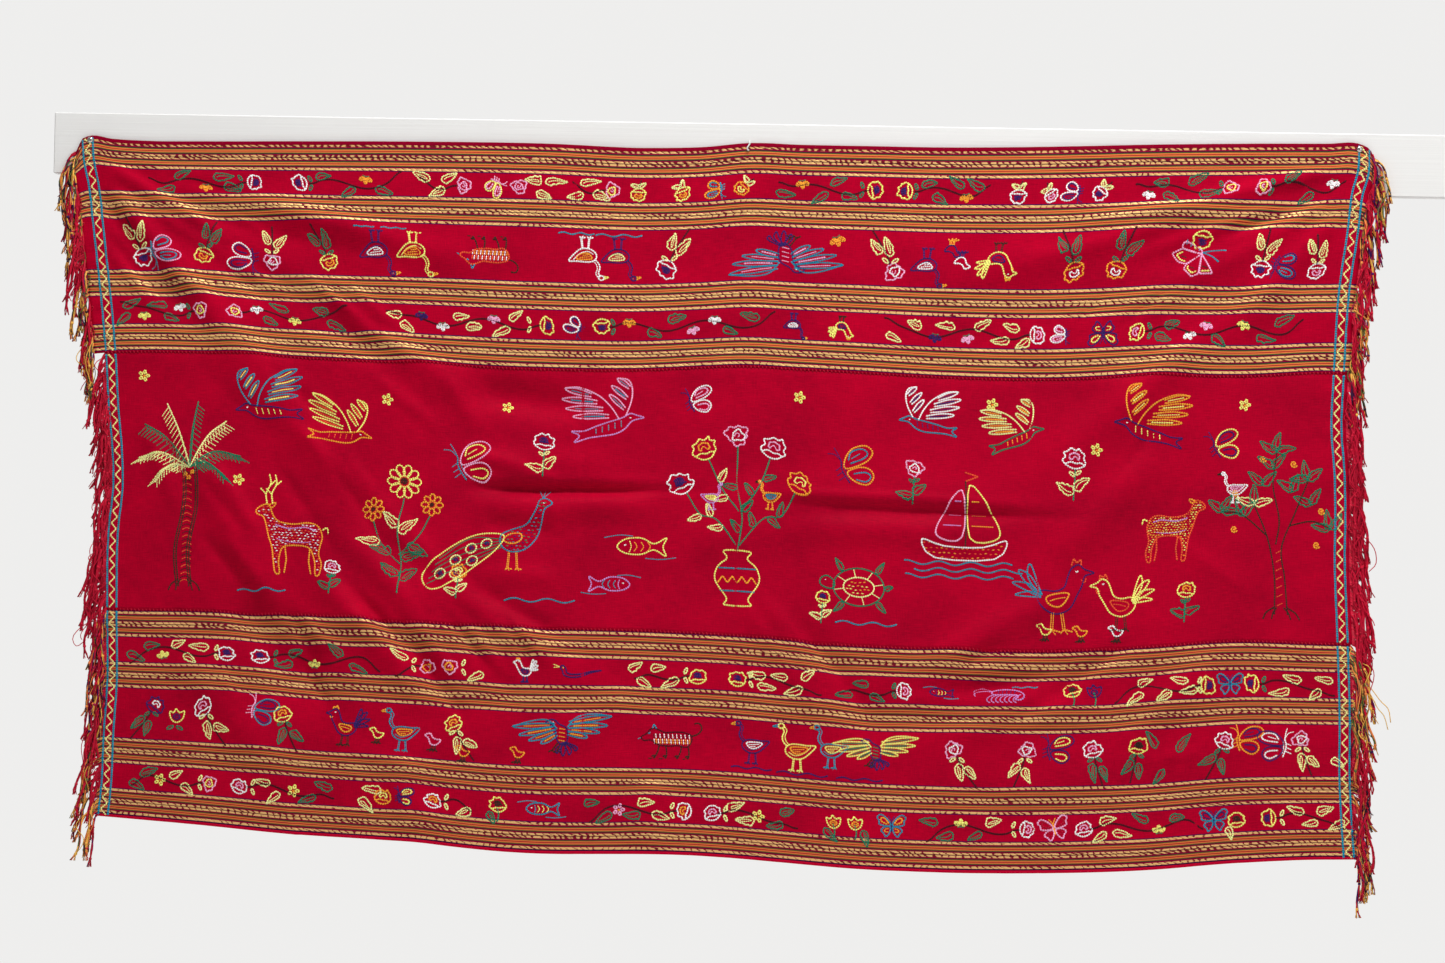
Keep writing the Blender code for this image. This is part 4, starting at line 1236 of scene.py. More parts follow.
def draw(place, kind, hues):
    names, rows = drawings[kind]
    palette = {}
    for k, name in enumerate(names.split()):
        name, _, usual = name.partition("=")
        palette[name] = hues[k] if k < len(hues) else palette.get(usual, usual)
    for row in rows.strip().split("\n"):
        row, _, again = row.partition(" again ")
        chosen, *words = row.split()
        chosen = [palette.get(name, name) for name in chosen.split("/")]
        fine = words[0] == "fine"
        manner, numbers = words[fine], [float(word) for word in words[fine + 1:]]
        if manner in placed:
            x, y, turn, *sizes = numbers
            placed[manner](place.at(x, y, turn=turn), *chosen, *sizes)
        elif manner in grouped:
            grouped[manner](place, chosen, *numbers)
        elif manner in drawings:
            draw(place.at(*numbers), manner, chosen)
        elif manner == "seeds":
            seeds(place, line, chosen, *numbers)
        else:
            line = lineOf(manner, numbers)
            count, dx, dy = (float(word) for word in (again or "1 0 0").split())
            for k in range(int(count)):
                if chosen != ["none"]:
                    place.sew(chosen[0], line + (k * dx, k * dy), fine)


def leafOf(place, hues):
    leafMotif(place, hues[0], 27 * chance.uniform(0.84, 1.18), 14 * chance.uniform(0.88, 1.14))


def motif(place, kind, hues):
    own = dict(leaf=leafOf, palm=palm, orchard=orchard).get(kind)
    if own:
        own(place, hues)
    else:
        draw(place, kind, hues)


def stemOf(free, tied, middle, rise):
    # a wavy dark stem from its free end, which turns toward the strip's edge, to the end with the flower
    x = np.linspace(free, tied, int(abs(tied - free) / 5) + 2)
    y = 7.0 * np.sin((x - tied) / 19.0) * smoothStep(np.abs(x - tied), 0, 20)
    y += rise * 14.0 * np.exp(-((np.abs(x - free) / 16.0) ** 2))
    line = np.stack([x, middle * 1000 - y], axis=-1) * 0.001
    sew("maroon", line)
    sew("maroon", line + (0.0, 0.0013), fine=True)


stripDriftAt = (60, 400, 800, 1200, 1500, 1850)    # across, where each strip's drift is given, in mm
# Each strip: its panel, the flat distance of its middle line in mm, whether it is worked upside down, how far
# its motifs stand to the right of their even places, and its motifs from left to right. A motif is its kind,
# its hues, its distance across in mm, then height off the middle line, size in hundredths and turn in degrees
# where they aren't the usual ones. Distances parted by slashes are motifs of the same kind and hues.
strips = (
    ("upper", 67, True, (12, 11, 10, 5, -1, -14), """
stem 84 236, leaf green 111/137, bloom orange 172, leaf green 199/213, bud green 230,
rose white navy 250/318, bud green 338, leaf green 357/393, bloom orange 422, leaf green 448, stem 334 479,
leaf lime 509/531/551, rose pink pink 573, butterfly cream pink pink 620 0 100 60, rose pink pink 658,
leaf lime 680/696/711, stem 505 562, leaf lime 744/764/784, rose pink cream 801, stem 740 790,
nod lime cream orange 842 -7 100 0, nod lime cream orange 911 -6 100 24,
butterfly orange teal teal 960 0 100 0, nod lime orange cream 1000 -4 100 -40, stem 1056 1196,
leaf green 1066, bloom orange 1093, leaf green 1122/1148/1167, bud green 1187, rose cream navy 1206/1250,
bud green 1270, leaf green 1288/1306/1329, bloom orange 1346, leaf green 1360, stem 1266 1381,
nod lime white navy 1425 -8 105 0, nod lime white pink 1477 -6 92 36,
butterfly white navy navy 1509 0 105 -8, nod lime white navy 1550 -5 100 -34, stem 1604 1744,
bloom white 1628, leaf green 1642/1662/1698/1719, bud green 1739, rose pink cream 1752/1802, bud green 1818,
leaf green 1845/1870, bloom white 1907, stem 1815 1925"""),
    ("upper", 170.5, True, (10, 16, 20, 12, 9, 0), """
spray lime white navy 61 -20 100 0 -17, butterfly pink teal teal 95 -10 -165 15,
spray green cream orange 164 -18 90 0 22, butterfly white navy navy 222 -16 160 -8,
spray lime pink white 265 -22 88 0 3, spray green cream orange 349 -21 90 0 -24,
duck navy white orange teal 430 0 94, duck cream orange orange rust 488 0 94, wave teal 410 33 40,
wave teal 455 33 50, beast rust white brown teal 603 0 -104, duck white orange cream rust 752 3 92,
duck navy lime orange teal 802 3 92, wave teal 735 35 70, wave teal 800 34 90,
spray lime white navy 880 -20 100 0 30, soar teal pink navy brown 1062 2 112, bloom orange 1142 26 120,
spray lime pink white 1226 -21 100 0 -30, duck navy white orange brown 1285 -6 84,
chick navy orange 1321 18 110, chick white navy 1337 0 110, hen cream navy orange brown 1394 2 100,
spray green orange white 1507 -17 98 0 -20, spray green orange white 1580 -17 98 0 20,
great pink cream teal 1692 -4 96 0, rose cream navy 1704 26 110, spray lime white navy 1801 -17 92 0 6,
butterfly navy teal navy 1834 -12 -140 -10, spray lime white pink 1886 -22 84 0 -8"""),
    ("upper", 277.5, True, (16, 21, 20, 20, 8, 0), """
leaf green 17/30, bloom cream 51, leaf green 76/95, bloom white 108, bud green 124, rose pink cream 142,
stem 14 132, rose pink cream 195, bloom white 229, leaf green 251/266, bloom cream 288, leaf green 329/350,
stem 205 372, stem 432 676, leaf lime 444/465, bloom navy 488, bloom white 521, leaf lime 551/571,
bloom pink 602, leaf lime 615/638, bud lime 660, rose cream navy 687,
butterfly white navy navy 730 0 100 -30, rose cream navy 772, bud green 792, bloom orange 815,
leaf green 856/888, bloom pink 914, bloom white 948, leaf green 973/1005, stem 784 1043,
duck navy white orange 1073 2 56, hen cream navy orange brown 1147 1 62, stem 1212 1447,
leaf lime 1228/1259, bloom navy 1294, leaf lime 1313, bloom pink 1346, leaf lime 1370/1400/1416/1434,
rose white pink 1459, butterfly white pink navy 1496 0 95 -6, moth navy cream navy 1562 0 110,
rose cream pink 1614, bud green 1637, leaf green 1656/1670, bloom white 1697, bloom pink 1723,
leaf green 1744, bloom cream 1781, leaf green 1815/1842, stem 1628 1874"""),
    ("lower", 66, False, (18, 25, 24, 18, 10, 0), """
stem 18 162, leaf green 26/54, bloom cream 72, leaf lime 98/116/133, bud lime 155, rose white navy 174/226,
bud green 247, leaf green 264/282, bloom cream 311, leaf green 347/379, stem 238 416, leaf lime 447,
bud lime 466, rose pink orange 489/526, bud lime 545, leaf lime 566, stem 440 478,
hen white navy orange navy 642 0 62, snake navy cream 722 0 88, stem 814 902, leaf lime 817/830/853/872,
bud lime 893, rose cream navy 914/977, bud lime 996, leaf lime 1009/1021/1044/1068/1090, stem 990 1110,
stem 1136 1228, leaf green 1146/1171/1198, bud green 1222, rose white pink 1241,
fish navy cream teal 1300 0 72, shrimp lilac navy 1394 0 104, wave teal 1432 12 50, rose cream brown 1507 6,
stalk green 1507 -10, cup navy navy 1541 3, stalk green 1541 -11, stem 1572 1708,
leaf lime 1606/1622/1650/1676/1690, bud lime 1704, rose cream navy 1721, moth teal navy navy 1755 0 96,
rose cream navy 1788, bud green 1806, leaf lime 1836/1855/1885/1903, stem 1800 1918"""),
    ("lower", 170.75, False, (18, 25, 26, 20, 12, 0), """
spray green navy white 57 19 92 0 34, cup cream navy 98 2 110, bud green 96 -16 110 -90,
spray lime white pink 146 19 96 0 -36, butterfly teal navy pink 232 16 160 -12,
spray green cream orange 270 16 92 0 -24, hen navy orange orange brown 363 0 108, chick cream brown 414 -8,
duck teal orange orange brown 452 -4 92, chick pink brown 502 -12 110, chick orange brown 549 -26,
spray lime cream orange 538 20 88 0 -34, chick orange brown 634 -22, soar teal orange navy brown 702 8 98,
beast maroon white brown teal 875 3 108, duck navy white orange teal 998 2 90,
duck cream orange teal brown 1068 0 100, duck teal cream orange brown 1122 6 90, wave navy 1000 -31 80,
wave navy 1080 -33 100, soar cream green navy brown 1194 8 84, wave navy 1170 -34 90,
spray lime pink white 1323 19 92 0 -34, spray lime pink white 1430 19 90 0 18,
butterfly navy cream navy 1480 18 158 0, spray green white pink 1540 18 90 0 -14,
spray green cream brown 1606 20 88 0 10, leaf green 1636 14 120 110, leaf green 1650 -18 120 -120,
leaf green 1671 6 120 60, spray green white pink 1741 20 92 0 26,
butterfly orange navy orange 1780 17 158 0, butterfly navy white white 1826 8 -172 0,
spray lime pink white 1868 20 90 0 -16, leaf lime 1912 -13 110 -20"""),
    ("lower", 274.5, False, (18, 26, 26, 17, 14, 6), """
stem 30 144, leaf green 39/56, star cream 76, leaf lime 103/121, bud lime 138, rose pink cream 155,
rose white pink 203, bud lime 222, leaf lime 240/257, star cream 288, leaf green 311/337, stem 214 352,
leaf lime 400/412, rose orange cream 428, butterfly navy cream navy 461 0 100, rose white orange 506,
bud lime 524, leaf lime 552, stem 516 566, rose cream brown 607 4, leaf green 592 -8, stalk green 606 -12,
fish teal cream 676, leaf green 752/771, star pink 793, leaf green 815, leaf lime 836/858, bud lime 875,
rose white orange 895, stem 748 884, rose white pink 940, bud lime 959, leaf lime 976/994, star cream 1013,
leaf green 1040/1060, stem 950 1076, cup cream orange 1132 3, leaf green 1118 -8, stalk green 1132 -12,
cup cream orange 1166 3, leaf green 1178 -8, stalk green 1166 -12, moth teal orange navy 1223 0 104,
leaf green 1282/1306, bloom cream 1330, leaf green 1350, leaf lime 1381, bud lime 1409,
rose white pink 1433, stem 1276 1420, moth pink crimson orange 1474 0 108 12, rose white pink 1519,
leaf lime 1543/1557/1577, leaf green 1608, bloom cream 1636, leaf green 1666, stem 1530 1705,
moth teal navy navy 1722 0 100, rose cream brown 1757, leaf lime 1741 -12, rose cream navy 1806,
bud lime 1826, leaf lime 1850/1870/1894/1912, stem 1818 1926"""),
)


def listed(text):
    # kind, hues and numbers of each motif in a list
    for item in text.split(","):
        kind, *words = item.split()
        hues = [word for word in words if word.isalpha()]
        places, *rest = words[len(hues):]
        for place in places.split("/"):
            yield kind, hues, [float(place), *map(float, rest)]


usualRise = dict(leaf=7.0, bloom=7.5)              # to each side of the middle line by turns
lowered = dict(rose=(0, -12), cup=(0, -11, 11), butterfly=(-8, 0, 0.74), moth=(0, 0, 0.80))
uprightKinds = ("leaf", "stalk", "wave", "great", "nod")
stemNear = 32                                      # a flower this close to a stem's end lies along the stem


def roseTurn(place, stems):
    if any(0 < place - end < stemNear for _, end in stems):
        return -90 + chance.uniform(-16, 16)
    if any(0 < start - place < stemNear for start, _ in stems):
        return 90 + chance.uniform(-16, 16)


def layStrip(panel, middle, upsideDown, drift, text):
    middle = panelTops[0 if panel == "upper" else 2] + middle * 0.001
    drifted = lambda x: float(np.interp(x, stripDriftAt, drift))
    items = list(listed(text))
    flowers = np.array([numbers[0] for kind, _, numbers in items if kind == "rose"])
    stems = [numbers for kind, _, numbers in items if kind == "stem"]
    side = 1
    for kind, hues, numbers in items:
        if kind == "stem":
            nearest = [np.min(np.abs(flowers - end)) for end in numbers]
            free, tied = numbers if nearest[1] < nearest[0] else numbers[::-1]
            stemOf(free + drifted(free), tied + drifted(tied), middle, 1 if upsideDown else -1)
            continue
        side = -side
        given = len(numbers)
        place = numbers[0] + drifted(numbers[0])
        rise = numbers[1] if given > 1 else usualRise.get(kind, 0.0) * side
        size = numbers[2] / 100 if given > 2 else 1.0
        turn = numbers[3] if given > 3 else 0.0
        shift = 0.0
        if kind == "spray":
            target = Place(place * 0.001, middle - rise * 0.001, size, 0 if upsideDown else 180)
            sprayMotif(target, *hues, lean=numbers[4])
            continue
        if kind == "leaf" and given == 1:
            lean = side * chance.uniform(6, 30)
            turn = lean if chance.random() < 0.5 else 180 - lean
            shift = -13.0 * math.cos(math.radians(turn))
        elif kind == "leaf":
            size *= 0.84
            if given == 2:
                turn = 60 if rise > 0 else -60
        elif kind in ("rose", "bloom") and given < 4:
            turn = chance.uniform(-20, 20) + (180 if upsideDown else 0)
            if kind == "rose":
                turn = roseTurn(place, stems) or turn
        elif upsideDown and kind not in uprightKinds:
            turn += 180
        target = Place((place + shift) * 0.001, middle - rise * 0.001, abs(size), turn, size < 0)
        motif(target.at(*lowered.get(kind, (0, 0))), kind, hues)


def chainLinks(line, pitch):
    # ends of equal links along a line
    steps = np.linalg.norm(np.diff(line, axis=0), axis=1)
    keep = np.concatenate([[True], steps > 1e-7])
    line, run = line[keep], np.concatenate([[0.0], np.cumsum(steps[steps > 1e-7])])
    count = max(1, int(round(run[-1] / pitch)))
    at = np.linspace(0.0, run[-1], count + 1)
    return np.stack([np.interp(at, run, line[:, 0]), np.interp(at, run, line[:, 1])], axis=-1)


# One leg of a link, point by point, in hundredths: along the link, of half the width to the side, then of the
# leg's radius further to the side, and of its radius in height.
legPoints = table("-24 5 0 10, 45 95 -175 -50, 52 95 175 -50, 50 95 0 115, 126 0 0 40", unit=0.01)


def chainStitches(name, slot="embroidery_yarn"):
    # each link is two bowed legs of yarn; a leg is a point, a ring of three and a point
    points, colours = [], []
    for (hue, fine), lines in sewn.items():
        pitch, width, radius = (yarn[key] * 0.001 for key in (
            ("finePitch", "fineWidth", "fineRadius") if fine else ("pitch", "width", "legRadius")))
        starts, ends = [], []
        for line in lines:
            knots = chainLinks(line, pitch)
            starts.append(knots[:-1])
            ends.append(knots[1:])
        start, end = np.concatenate(starts), np.concatenate(ends)
        count = len(start)
        run = end - start
        aside = np.stack([run[:, 1], -run[:, 0]], axis=-1)
        aside /= np.linalg.norm(aside, axis=1, keepdims=True) + 1e-12
        bow = chance.uniform(0.85, 1.15, (count, 1)) * width / 2
        along, share, offset, height = legPoints.T
        flat = [
            start[:, None] + run[:, None] * along[:, None]
            + aside[:, None] * (side * bow * share + offset * radius)[..., None]
            for side in (-1, 1)
        ]
        flat = np.concatenate(flat, axis=1)
        lift = np.tile(height * radius, 2) + yarn["lift"] - yarn["sunk"]
        points.append(onCloth(flat[..., 0], flat[..., 1], lift).reshape(-1, 3))
        shade = chance.normal(1.0, 0.07, (count, 1)).clip(0.8, 1.2) * yarn["lightness"]
        tint = (np.array(yarn["hues"][hue]) * shade).clip(0.0, 1.0)
        colours.append(np.repeat(tint, 2 * len(legPoints), axis=0))
    points, colours = np.concatenate(points), np.concatenate(colours)
    first = np.arange(0, len(points), len(legPoints))[:, None]
    tips = np.array([(0, 2, 1), (0, 3, 2), (0, 1, 3), (4, 1, 2), (4, 2, 3), (4, 3, 1)])
    faces = [(tips + first[:, None]).reshape(-1, 3)]
    piece = buildMesh(name, points, faces, yarnFinish("yarn_" + name), colours=colours)
    sewn.clear()
    print(name, len(first) // 2, "links")
    return finished(piece, slot)


def yarnFinish(name):
    f = Finish(name, Roughness=0.60, Specular_IOR_Level=0.25)
    tint = f.node("ShaderNodeVertexColor", dict(layer_name="yarn"), {})
    f.feed(Base_Color=tint)
    return f.material


for strip in strips[:3]:
    layStrip(*strip)
upperStitches = chainStitches("embroidery_upper")
for strip in strips[3:]:
    layStrip(*strip)
lowerStitches = chainStitches("embroidery_lower")


# The middle panel's own design: trees, animals, a boat and sprays, laid out for this cloth. Each motif has
# its kind, its hues, its distance across and height over the seam in mm, size in hundredths, below 0 if
# mirrored, and turn in degrees.
middleMotifs = """
palm 125 38 98, stag orange rust white 300 62 102, sunflower 468 42 102, peacock 645 74 -108,
fish cream orange 850 132 150, fish lilac teal 800 72 -125, urn 1000 46 108, turtle 1190 88 105,
boat 1352 150,
hen navy orange rust orange teal 1500 78 -190, hen cream rust rust brown 1590 66 150,
chick cream brown 1475 30, chick orange brown 1530 26, chick white brown 1585 24,
deer rust cream orange 1672 128 -84, orchard 1838 42 112,
fly teal navy cream 260 318 120 8, fly cream orange rust 372 286 -110 -10, fly pink lilac teal 800 318 -130 6,
fly white teal navy 1300 334, fly lime green orange 1440 318 -100 12, fly orange navy cream 1640 322 120 -8,
butterfly pink cream teal 560 250 170 14, butterfly orange teal navy 1165 262 160 14,
butterfly white pink navy 930 356 110 14, butterfly cream navy navy 1745 300 120 14,
sprig green green white pink 360 34 90, sprig green lime orange cream 560 40 90,
sprig green lime white navy 690 238 115, sprig green green pink white 1270 216 110,
sprig green lime white pink 1520 226 125, sprig green green cream orange 1690 34,
sprig green lime cream navy 1130 30 80,
aster 60 372 90, aster 450 350 90, aster 640 350 90, aster 1100 368 90, aster 1400 372 90, aster 1560 300 90,
aster 1790 366 90, aster 205 210 90, wave teal 250 36, wave teal 690 44 140, wave teal 1200 34 120"""


def middleDesign():
    for kind, hues, numbers in listed(middleMotifs):
        across, up, size, turn = [*numbers, *(100, 0)[len(numbers) - 2:]]
        motif(Place(across * 0.001, panelTops[2] - up * 0.001, abs(size) / 100, turn, size < 0), kind, hues)


# Borders down both sides, and the red whip stitches that join the panels.
border = dict(
    inset=0.0155, lineHalf=0.0005, endGap=0.003, zigzag=0.0045, halfPeriod=0.0095,
    whipStep=0.006, whipStart=0.004, whipHalf=0.0020, whipLean=0.0008,
)


def borderStitches():
    b = border
    for k in range(3):
        top, bottom = panelTops[k] + b["endGap"], panelTops[k + 1] - b["endGap"]
        for line in (0.0, b["inset"]):
            for across in (line, cloth["width"] - line):
                for beside in (-b["lineHalf"], b["lineHalf"]):
                    sew("teal", [(across + beside, top), (across + beside, bottom)])
        count = int((bottom - top) / b["halfPeriod"])
        down = np.linspace(top, bottom, count + 1)
        for middle in (b["inset"] / 2, cloth["width"] - b["inset"] / 2):
            across = middle + b["zigzag"] * np.where(np.arange(count + 1) % 2, 1, -1)
            corners = np.stack([across, down], axis=-1)
            for pair in zip(corners, corners[1:]):
                sew("straw", pair)
    for seam in panelTops[1:3]:
        for across in np.arange(b["whipStart"], cloth["width"], b["whipStep"]):
            stitch = np.array([b["whipLean"] * chance.uniform(0.4, 1.6), b["whipHalf"]])
            sew("crimson", [(across, seam) - stitch, (across, seam) + stitch], fine=True)


middleDesign()
middleStitches = chainStitches("embroidery_middle")
borderStitches()
edgeStitches = chainStitches("border_stitches")
print("embroidery sewn")


# The fringe: the warp ends of each panel, twisted into cords and knotted.
looseRed, looseGold, paleGold = linear(206, 14, 52), linear(250, 196, 104), linear(250, 206, 124)
fringe = dict(
    pitch=0.0050, unevenPitch=0.3, strands=7, strandRadius=0.00105, steps=15, spread=0.0032, insideEdge=0.0015,
    length=(0.064, 0.098), innermost=0.10, gatherAt=0.16, twist=(9.0, 14.0), tuft=0.0013, frayed=0.0038,
    quick=0.45, quickReach=0.10,         # share of the way outward that a cord makes at once, and how soon
    wave=(0.0015, 0.0045), waveRate=8.0, depthRate=7.0, fallPower=1.2, outPower=0.8,
    knotRadius=0.0025, knotHalf=0.024, knotAt=(0.78, 0.90), secondAt=(0.20, 0.62), secondKnot=0.35,
    knotProfile=(0.45, 0.9, 1.0, 0.9, 0.45),
    strays=0.5, strayWave=(0.003, 0.008),
    layers=(-0.0085, 0.0015), backward=0.12, railGap=0.0030, wallGap=0.0035,
    # flat distance down, then how far the cords reach outside the border line there, on the left and the right
    reach=table("""
0 20 14, 30 24 26, 60 40 38, 100 51 48, 150 52 46, 210 52 42, 270 61 42, 330 54 36, 380 42 38, 460 36 34,
560 31 29, 640 27 37, 710 34 40, 760 50 40, 820 38 34, 900 38 38, 1000 36 33, 1090 40 31, 1200 34 32"""),
    # single threads that have come loose: panel, side, start down, colour, then how far out and down they go
    loose=(
        (2, "right", 0.045, looseGold, table("0 0, 12 4, 30 22, 44 40, 56 52, 60 72")),
        (2, "right", 0.048, paleGold, table("0 0, 14 6, 28 26, 40 48, 50 60, 56 80")),
        (2, "left", 0.015, looseRed, table("0 0, 14 4, 34 12, 50 30, 44 44, 30 34")),
        (1, "right", 0.240, looseRed, table("0 0, 10 2, 26 10, 38 26, 40 46, 30 58")),
    ),
    looseRadius=0.0008,
    looseLift=0.004,
)


def warpColour(k, down):
    # the colour of the warp yarns that leave the panel at this height
    local = down - panelTops[k]
    for start in (weave["upper"]["bands"], (), weave["lower"]["bands"])[k]:
        if start < local < start + weave["bandHeight"]:
            place = (local - start) / weave["bandHeight"] * stripeEnds[-1]
            name = bandStripes[int(np.searchsorted(stripeEnds, place, side="right"))][0]
            return weave["warpGold"] if name in ("gold", "copper") else stripeColours[name]
    return weave["warpRed"]


def kept(path):
    # a path held in front of the rail near the top and just off the wall below it
    least = held(path[:, 2], cloth["railFront"] + fringe["railGap"], fringe["wallGap"])
    path[:, 1] = np.minimum(path[:, 1], -least)
    return path


def makeFringe(k, side):
    g = fringe
    outward, column = (-1.0, 1) if side == "left" else (1.0, 2)
    margin = cloth[side + "Margins"][k]
    edge = g["insideEdge"] - margin if side == "left" else cloth["width"] + margin - g["insideEdge"]
    count = int(cloth["heights"][k] / g["pitch"])
    paths, radii, colours, knots, knotColours = [], [], [], [], []
    f = np.linspace(0, 1, g["steps"])
    for i in range(count):
        uneven = chance.uniform(-g["unevenPitch"], g["unevenPitch"])
        down = panelTops[k] + (i + 0.5 + uneven) * cloth["heights"][k] / count
        root = hang(edge, down)
        length = chance.uniform(*g["length"])
        low = down + length
        widest = through(low, g["reach"][:, 0], g["reach"][:, column])
        reach = margin + (widest - margin) * chance.uniform(g["innermost"], 1.0)
        goal = through(low, sideLines[:, 0], sideLines[:, column]) + outward * reach
        layer = chance.uniform(*g["layers"])
        wave, phase = chance.uniform(*g["wave"]), chance.uniform(0, 2 * math.pi)
        knotAt, secondAt = chance.uniform(*g["knotAt"]), chance.uniform(*g["secondAt"])

        def axis(share):
            # the cord's middle line: quickly outward, then slowly, while it falls and waves a little
            quick = 1 - np.exp(-share / g["quickReach"])
            out = g["quick"] * quick + (1 - g["quick"]) * share ** g["outPower"]
            x = root[0] + (goal - root[0]) * out + wave * share * np.sin(share * g["waveRate"] + phase)
            y = root[1] + layer * np.minimum(share / 0.3, 1.0)
            y += 0.5 * wave * share * np.cos(share * g["depthRate"] + phase)
            z = root[2] - length * share ** g["fallPower"]
            return kept(np.stack([x, y - share * root[1] * g["backward"], z], axis=-1))

        middle = axis(f)
        gathered = smoothStep(f, 0.01, g["gatherAt"])
        frayed = smoothStep(f, knotAt + 0.02, 1.0)
        for s in range(g["strands"]):
            turn = 2 * math.pi * s / g["strands"] + f * chance.uniform(*g["twist"]) + phase
            tight = 0.72 + 0.28 * np.abs(np.cos(turn[0] + f * 21))
            reach = g["tuft"] * tight + frayed * g["frayed"] * chance.uniform(0.3, 1.0)
            start = (s / (g["strands"] - 1) - 0.5) * 2 * g["spread"]
            own = hang(edge, down + start) - root
            circle = np.stack([np.cos(turn), 0.7 * np.sin(turn), 0.15 * np.cos(turn * 0.7)], axis=-1)
            bunch = circle * (reach * gathered)[:, None]
            paths.append(kept(middle + own * (1 - gathered)[:, None] + bunch))
            radii.append(g["strandRadius"] * (1 - 0.35 * frayed) * chance.uniform(0.85, 1.15))
            colours.append(np.array(warpColour(k, down + start)) * chance.uniform(0.72, 1.25))
        if chance.random() < g["strays"]:
            sway = chance.uniform(*g["strayWave"]) * np.sin(f * chance.uniform(4, 9) + phase)
            stray = np.stack([sway, 0 * f - 0.002, 0.4 * sway], axis=-1) * gathered[:, None]
            paths.append(kept(axis(f * chance.uniform(0.5, 0.95)) + stray))
            radii.append(np.full(len(f), g["looseRadius"]))
            colours.append(colours[-1] * 1.1)
        for at in (knotAt, secondAt) if chance.random() < g["secondKnot"] else (knotAt,):
            knots.append(axis(np.linspace(at - g["knotHalf"], at + g["knotHalf"], len(g["knotProfile"]))))
            knotColours.append(colours[-int(chance.integers(1, g["strands"]))])
    for panel, hand, down, hue, bends in g["loose"]:
        if (panel, hand) == (k, side):
            root = hang(edge, panelTops[k] + down)
            out, fall = (through(f, np.linspace(0, 1, len(bends)), bends[:, c]) for c in (0, 1))
            front = np.full_like(f, root[1] - g["looseLift"])
            paths.append(np.stack([root[0] + outward * out, front, root[2] - fall], axis=-1))
            radii.append(np.full(len(f), g["looseRadius"]))
            colours.append(np.array(hue))
    lumpRadii = g["knotRadius"] * np.array(g["knotProfile"])
    points, faces = joined([tubes(paths, np.array(radii), 3), tubes(knots, lumpRadii[None], 6)])
    lumpPoints = len(g["knotProfile"]) * 6
    tints = np.concatenate([np.repeat(colours, g["steps"] * 3, axis=0), np.repeat(knotColours, lumpPoints, axis=0)])
    name = f"{('upper', 'middle', 'lower')[k]}_{side}_fringe"
    finish = yarnFinish(f"fringe_{k}_{side}")
    piece = buildMesh(f"{name}_yarn", points, faces, finish, colours=tints.clip(0.0, 1.0))
    return finished(piece, "fringe_yarn", name)


fringes = [[makeFringe(k, side) for side in ("left", "right")] for k in range(3)]
print("fringe knotted")


# Tacks, hook and rail.
hardware = dict(
    headRadius=0.0046, headHeight=0.0024, headSunk=0.0002, shankRadius=0.0008, reach=0.0150, point=0.0030,
    tip=0.00005, sides=40,
    # half of the head's outline, in thousandths of its radius and height
    dome=table("0 0, 280 35, 520 140, 720 290, 870 500, 960 720, 1000 900, 990 1000, 800 1020"),
    tacks=(("left_tack", -1.0240, 0.0045), ("right_tack", 0.9060, 0.0230)),
    steel=((0.62, 0.60, 0.57), (0.80, 0.79, 0.77)),
    wireRadius=0.0012, wireReach=0.0120, wireBow=0.0036, hookTop=(-0.0085, 0.0195), hookTip=(-0.0100, 0.0060),
    wireSides=14, wireSteps=8,
    # the wire's bends: across, behind its most forward point, and height
    bends=table("-8.5 2 19, -7.9 0.2 16.5, -9.3 0 13, -11.6 0 9.5, -11.2 0.6 6.8, -10 2.4 6"),
    hookPaint=((0.70, 0.70, 0.68), (0.86, 0.86, 0.84)),
    railPaint=((0.82, 0.815, 0.80), (0.905, 0.90, 0.885)),
    topOfCloth=(-0.02, 1.96, 0.0, 0.06),  # the part searched for the cloth under a fixing: across, then down
    searchStep=0.001,
)


def frontNear(x, z, radius):
    # the cloth's most forward point within a radius of x, z
    left, right, top, bottom = hardware["topOfCloth"]
    columns, rows = (int(round(span / hardware["searchStep"])) + 1 for span in (right - left, bottom - top))
    grids = np.meshgrid(np.linspace(left, right, columns), np.linspace(top, bottom, rows))
    points = hang(*[grid.ravel() for grid in grids])
    near = np.hypot(points[:, 0] - x, points[:, 2] - z) < radius * 1.5
    return points[near, 1].min() - cloth["thickness"] / 2


def makeTack(name, x, z):
    h = hardware
    under = frontNear(x, z, h["headRadius"]) - h["headSunk"]
    crown = under - h["headHeight"]
    profile = [(out * h["headRadius"], crown + back * h["headHeight"]) for out, back in h["dome"]]
    profile += [(h["shankRadius"], under), (h["shankRadius"], under + h["reach"] - h["point"])]
    profile += [(h["tip"], under + h["reach"])]
    out, y = np.array([(max(out, h["tip"]), y) for out, y in profile]).T[..., None]
    angle = np.arange(h["sides"]) * 2 * math.pi / h["sides"]
    points = np.stack([x + out * np.cos(angle), y + 0 * angle, z + out * np.sin(angle)], axis=-1).reshape(-1, 3)
    ends = np.arange(h["sides"])[None]
    last = (len(profile) - 1) * h["sides"]
    faces = [gridFaces(len(profile), h["sides"], closed=True), ends, ends[:, ::-1] + last]
    f = Finish(f"steel_{name}", Metallic=1.0, Roughness=0.2)
    cloudy = f.noise(f.node("ShaderNodeTexCoord", {}, {}, 3), 900.0, 2.0)
    f.feed(Base_Color=f.mix(cloudy, *h["steel"]), Roughness=cloudy * 0.18 + 0.14)
    finished(buildMesh(f"{name}_turned", points, faces, f.material), "tack_steel", name)


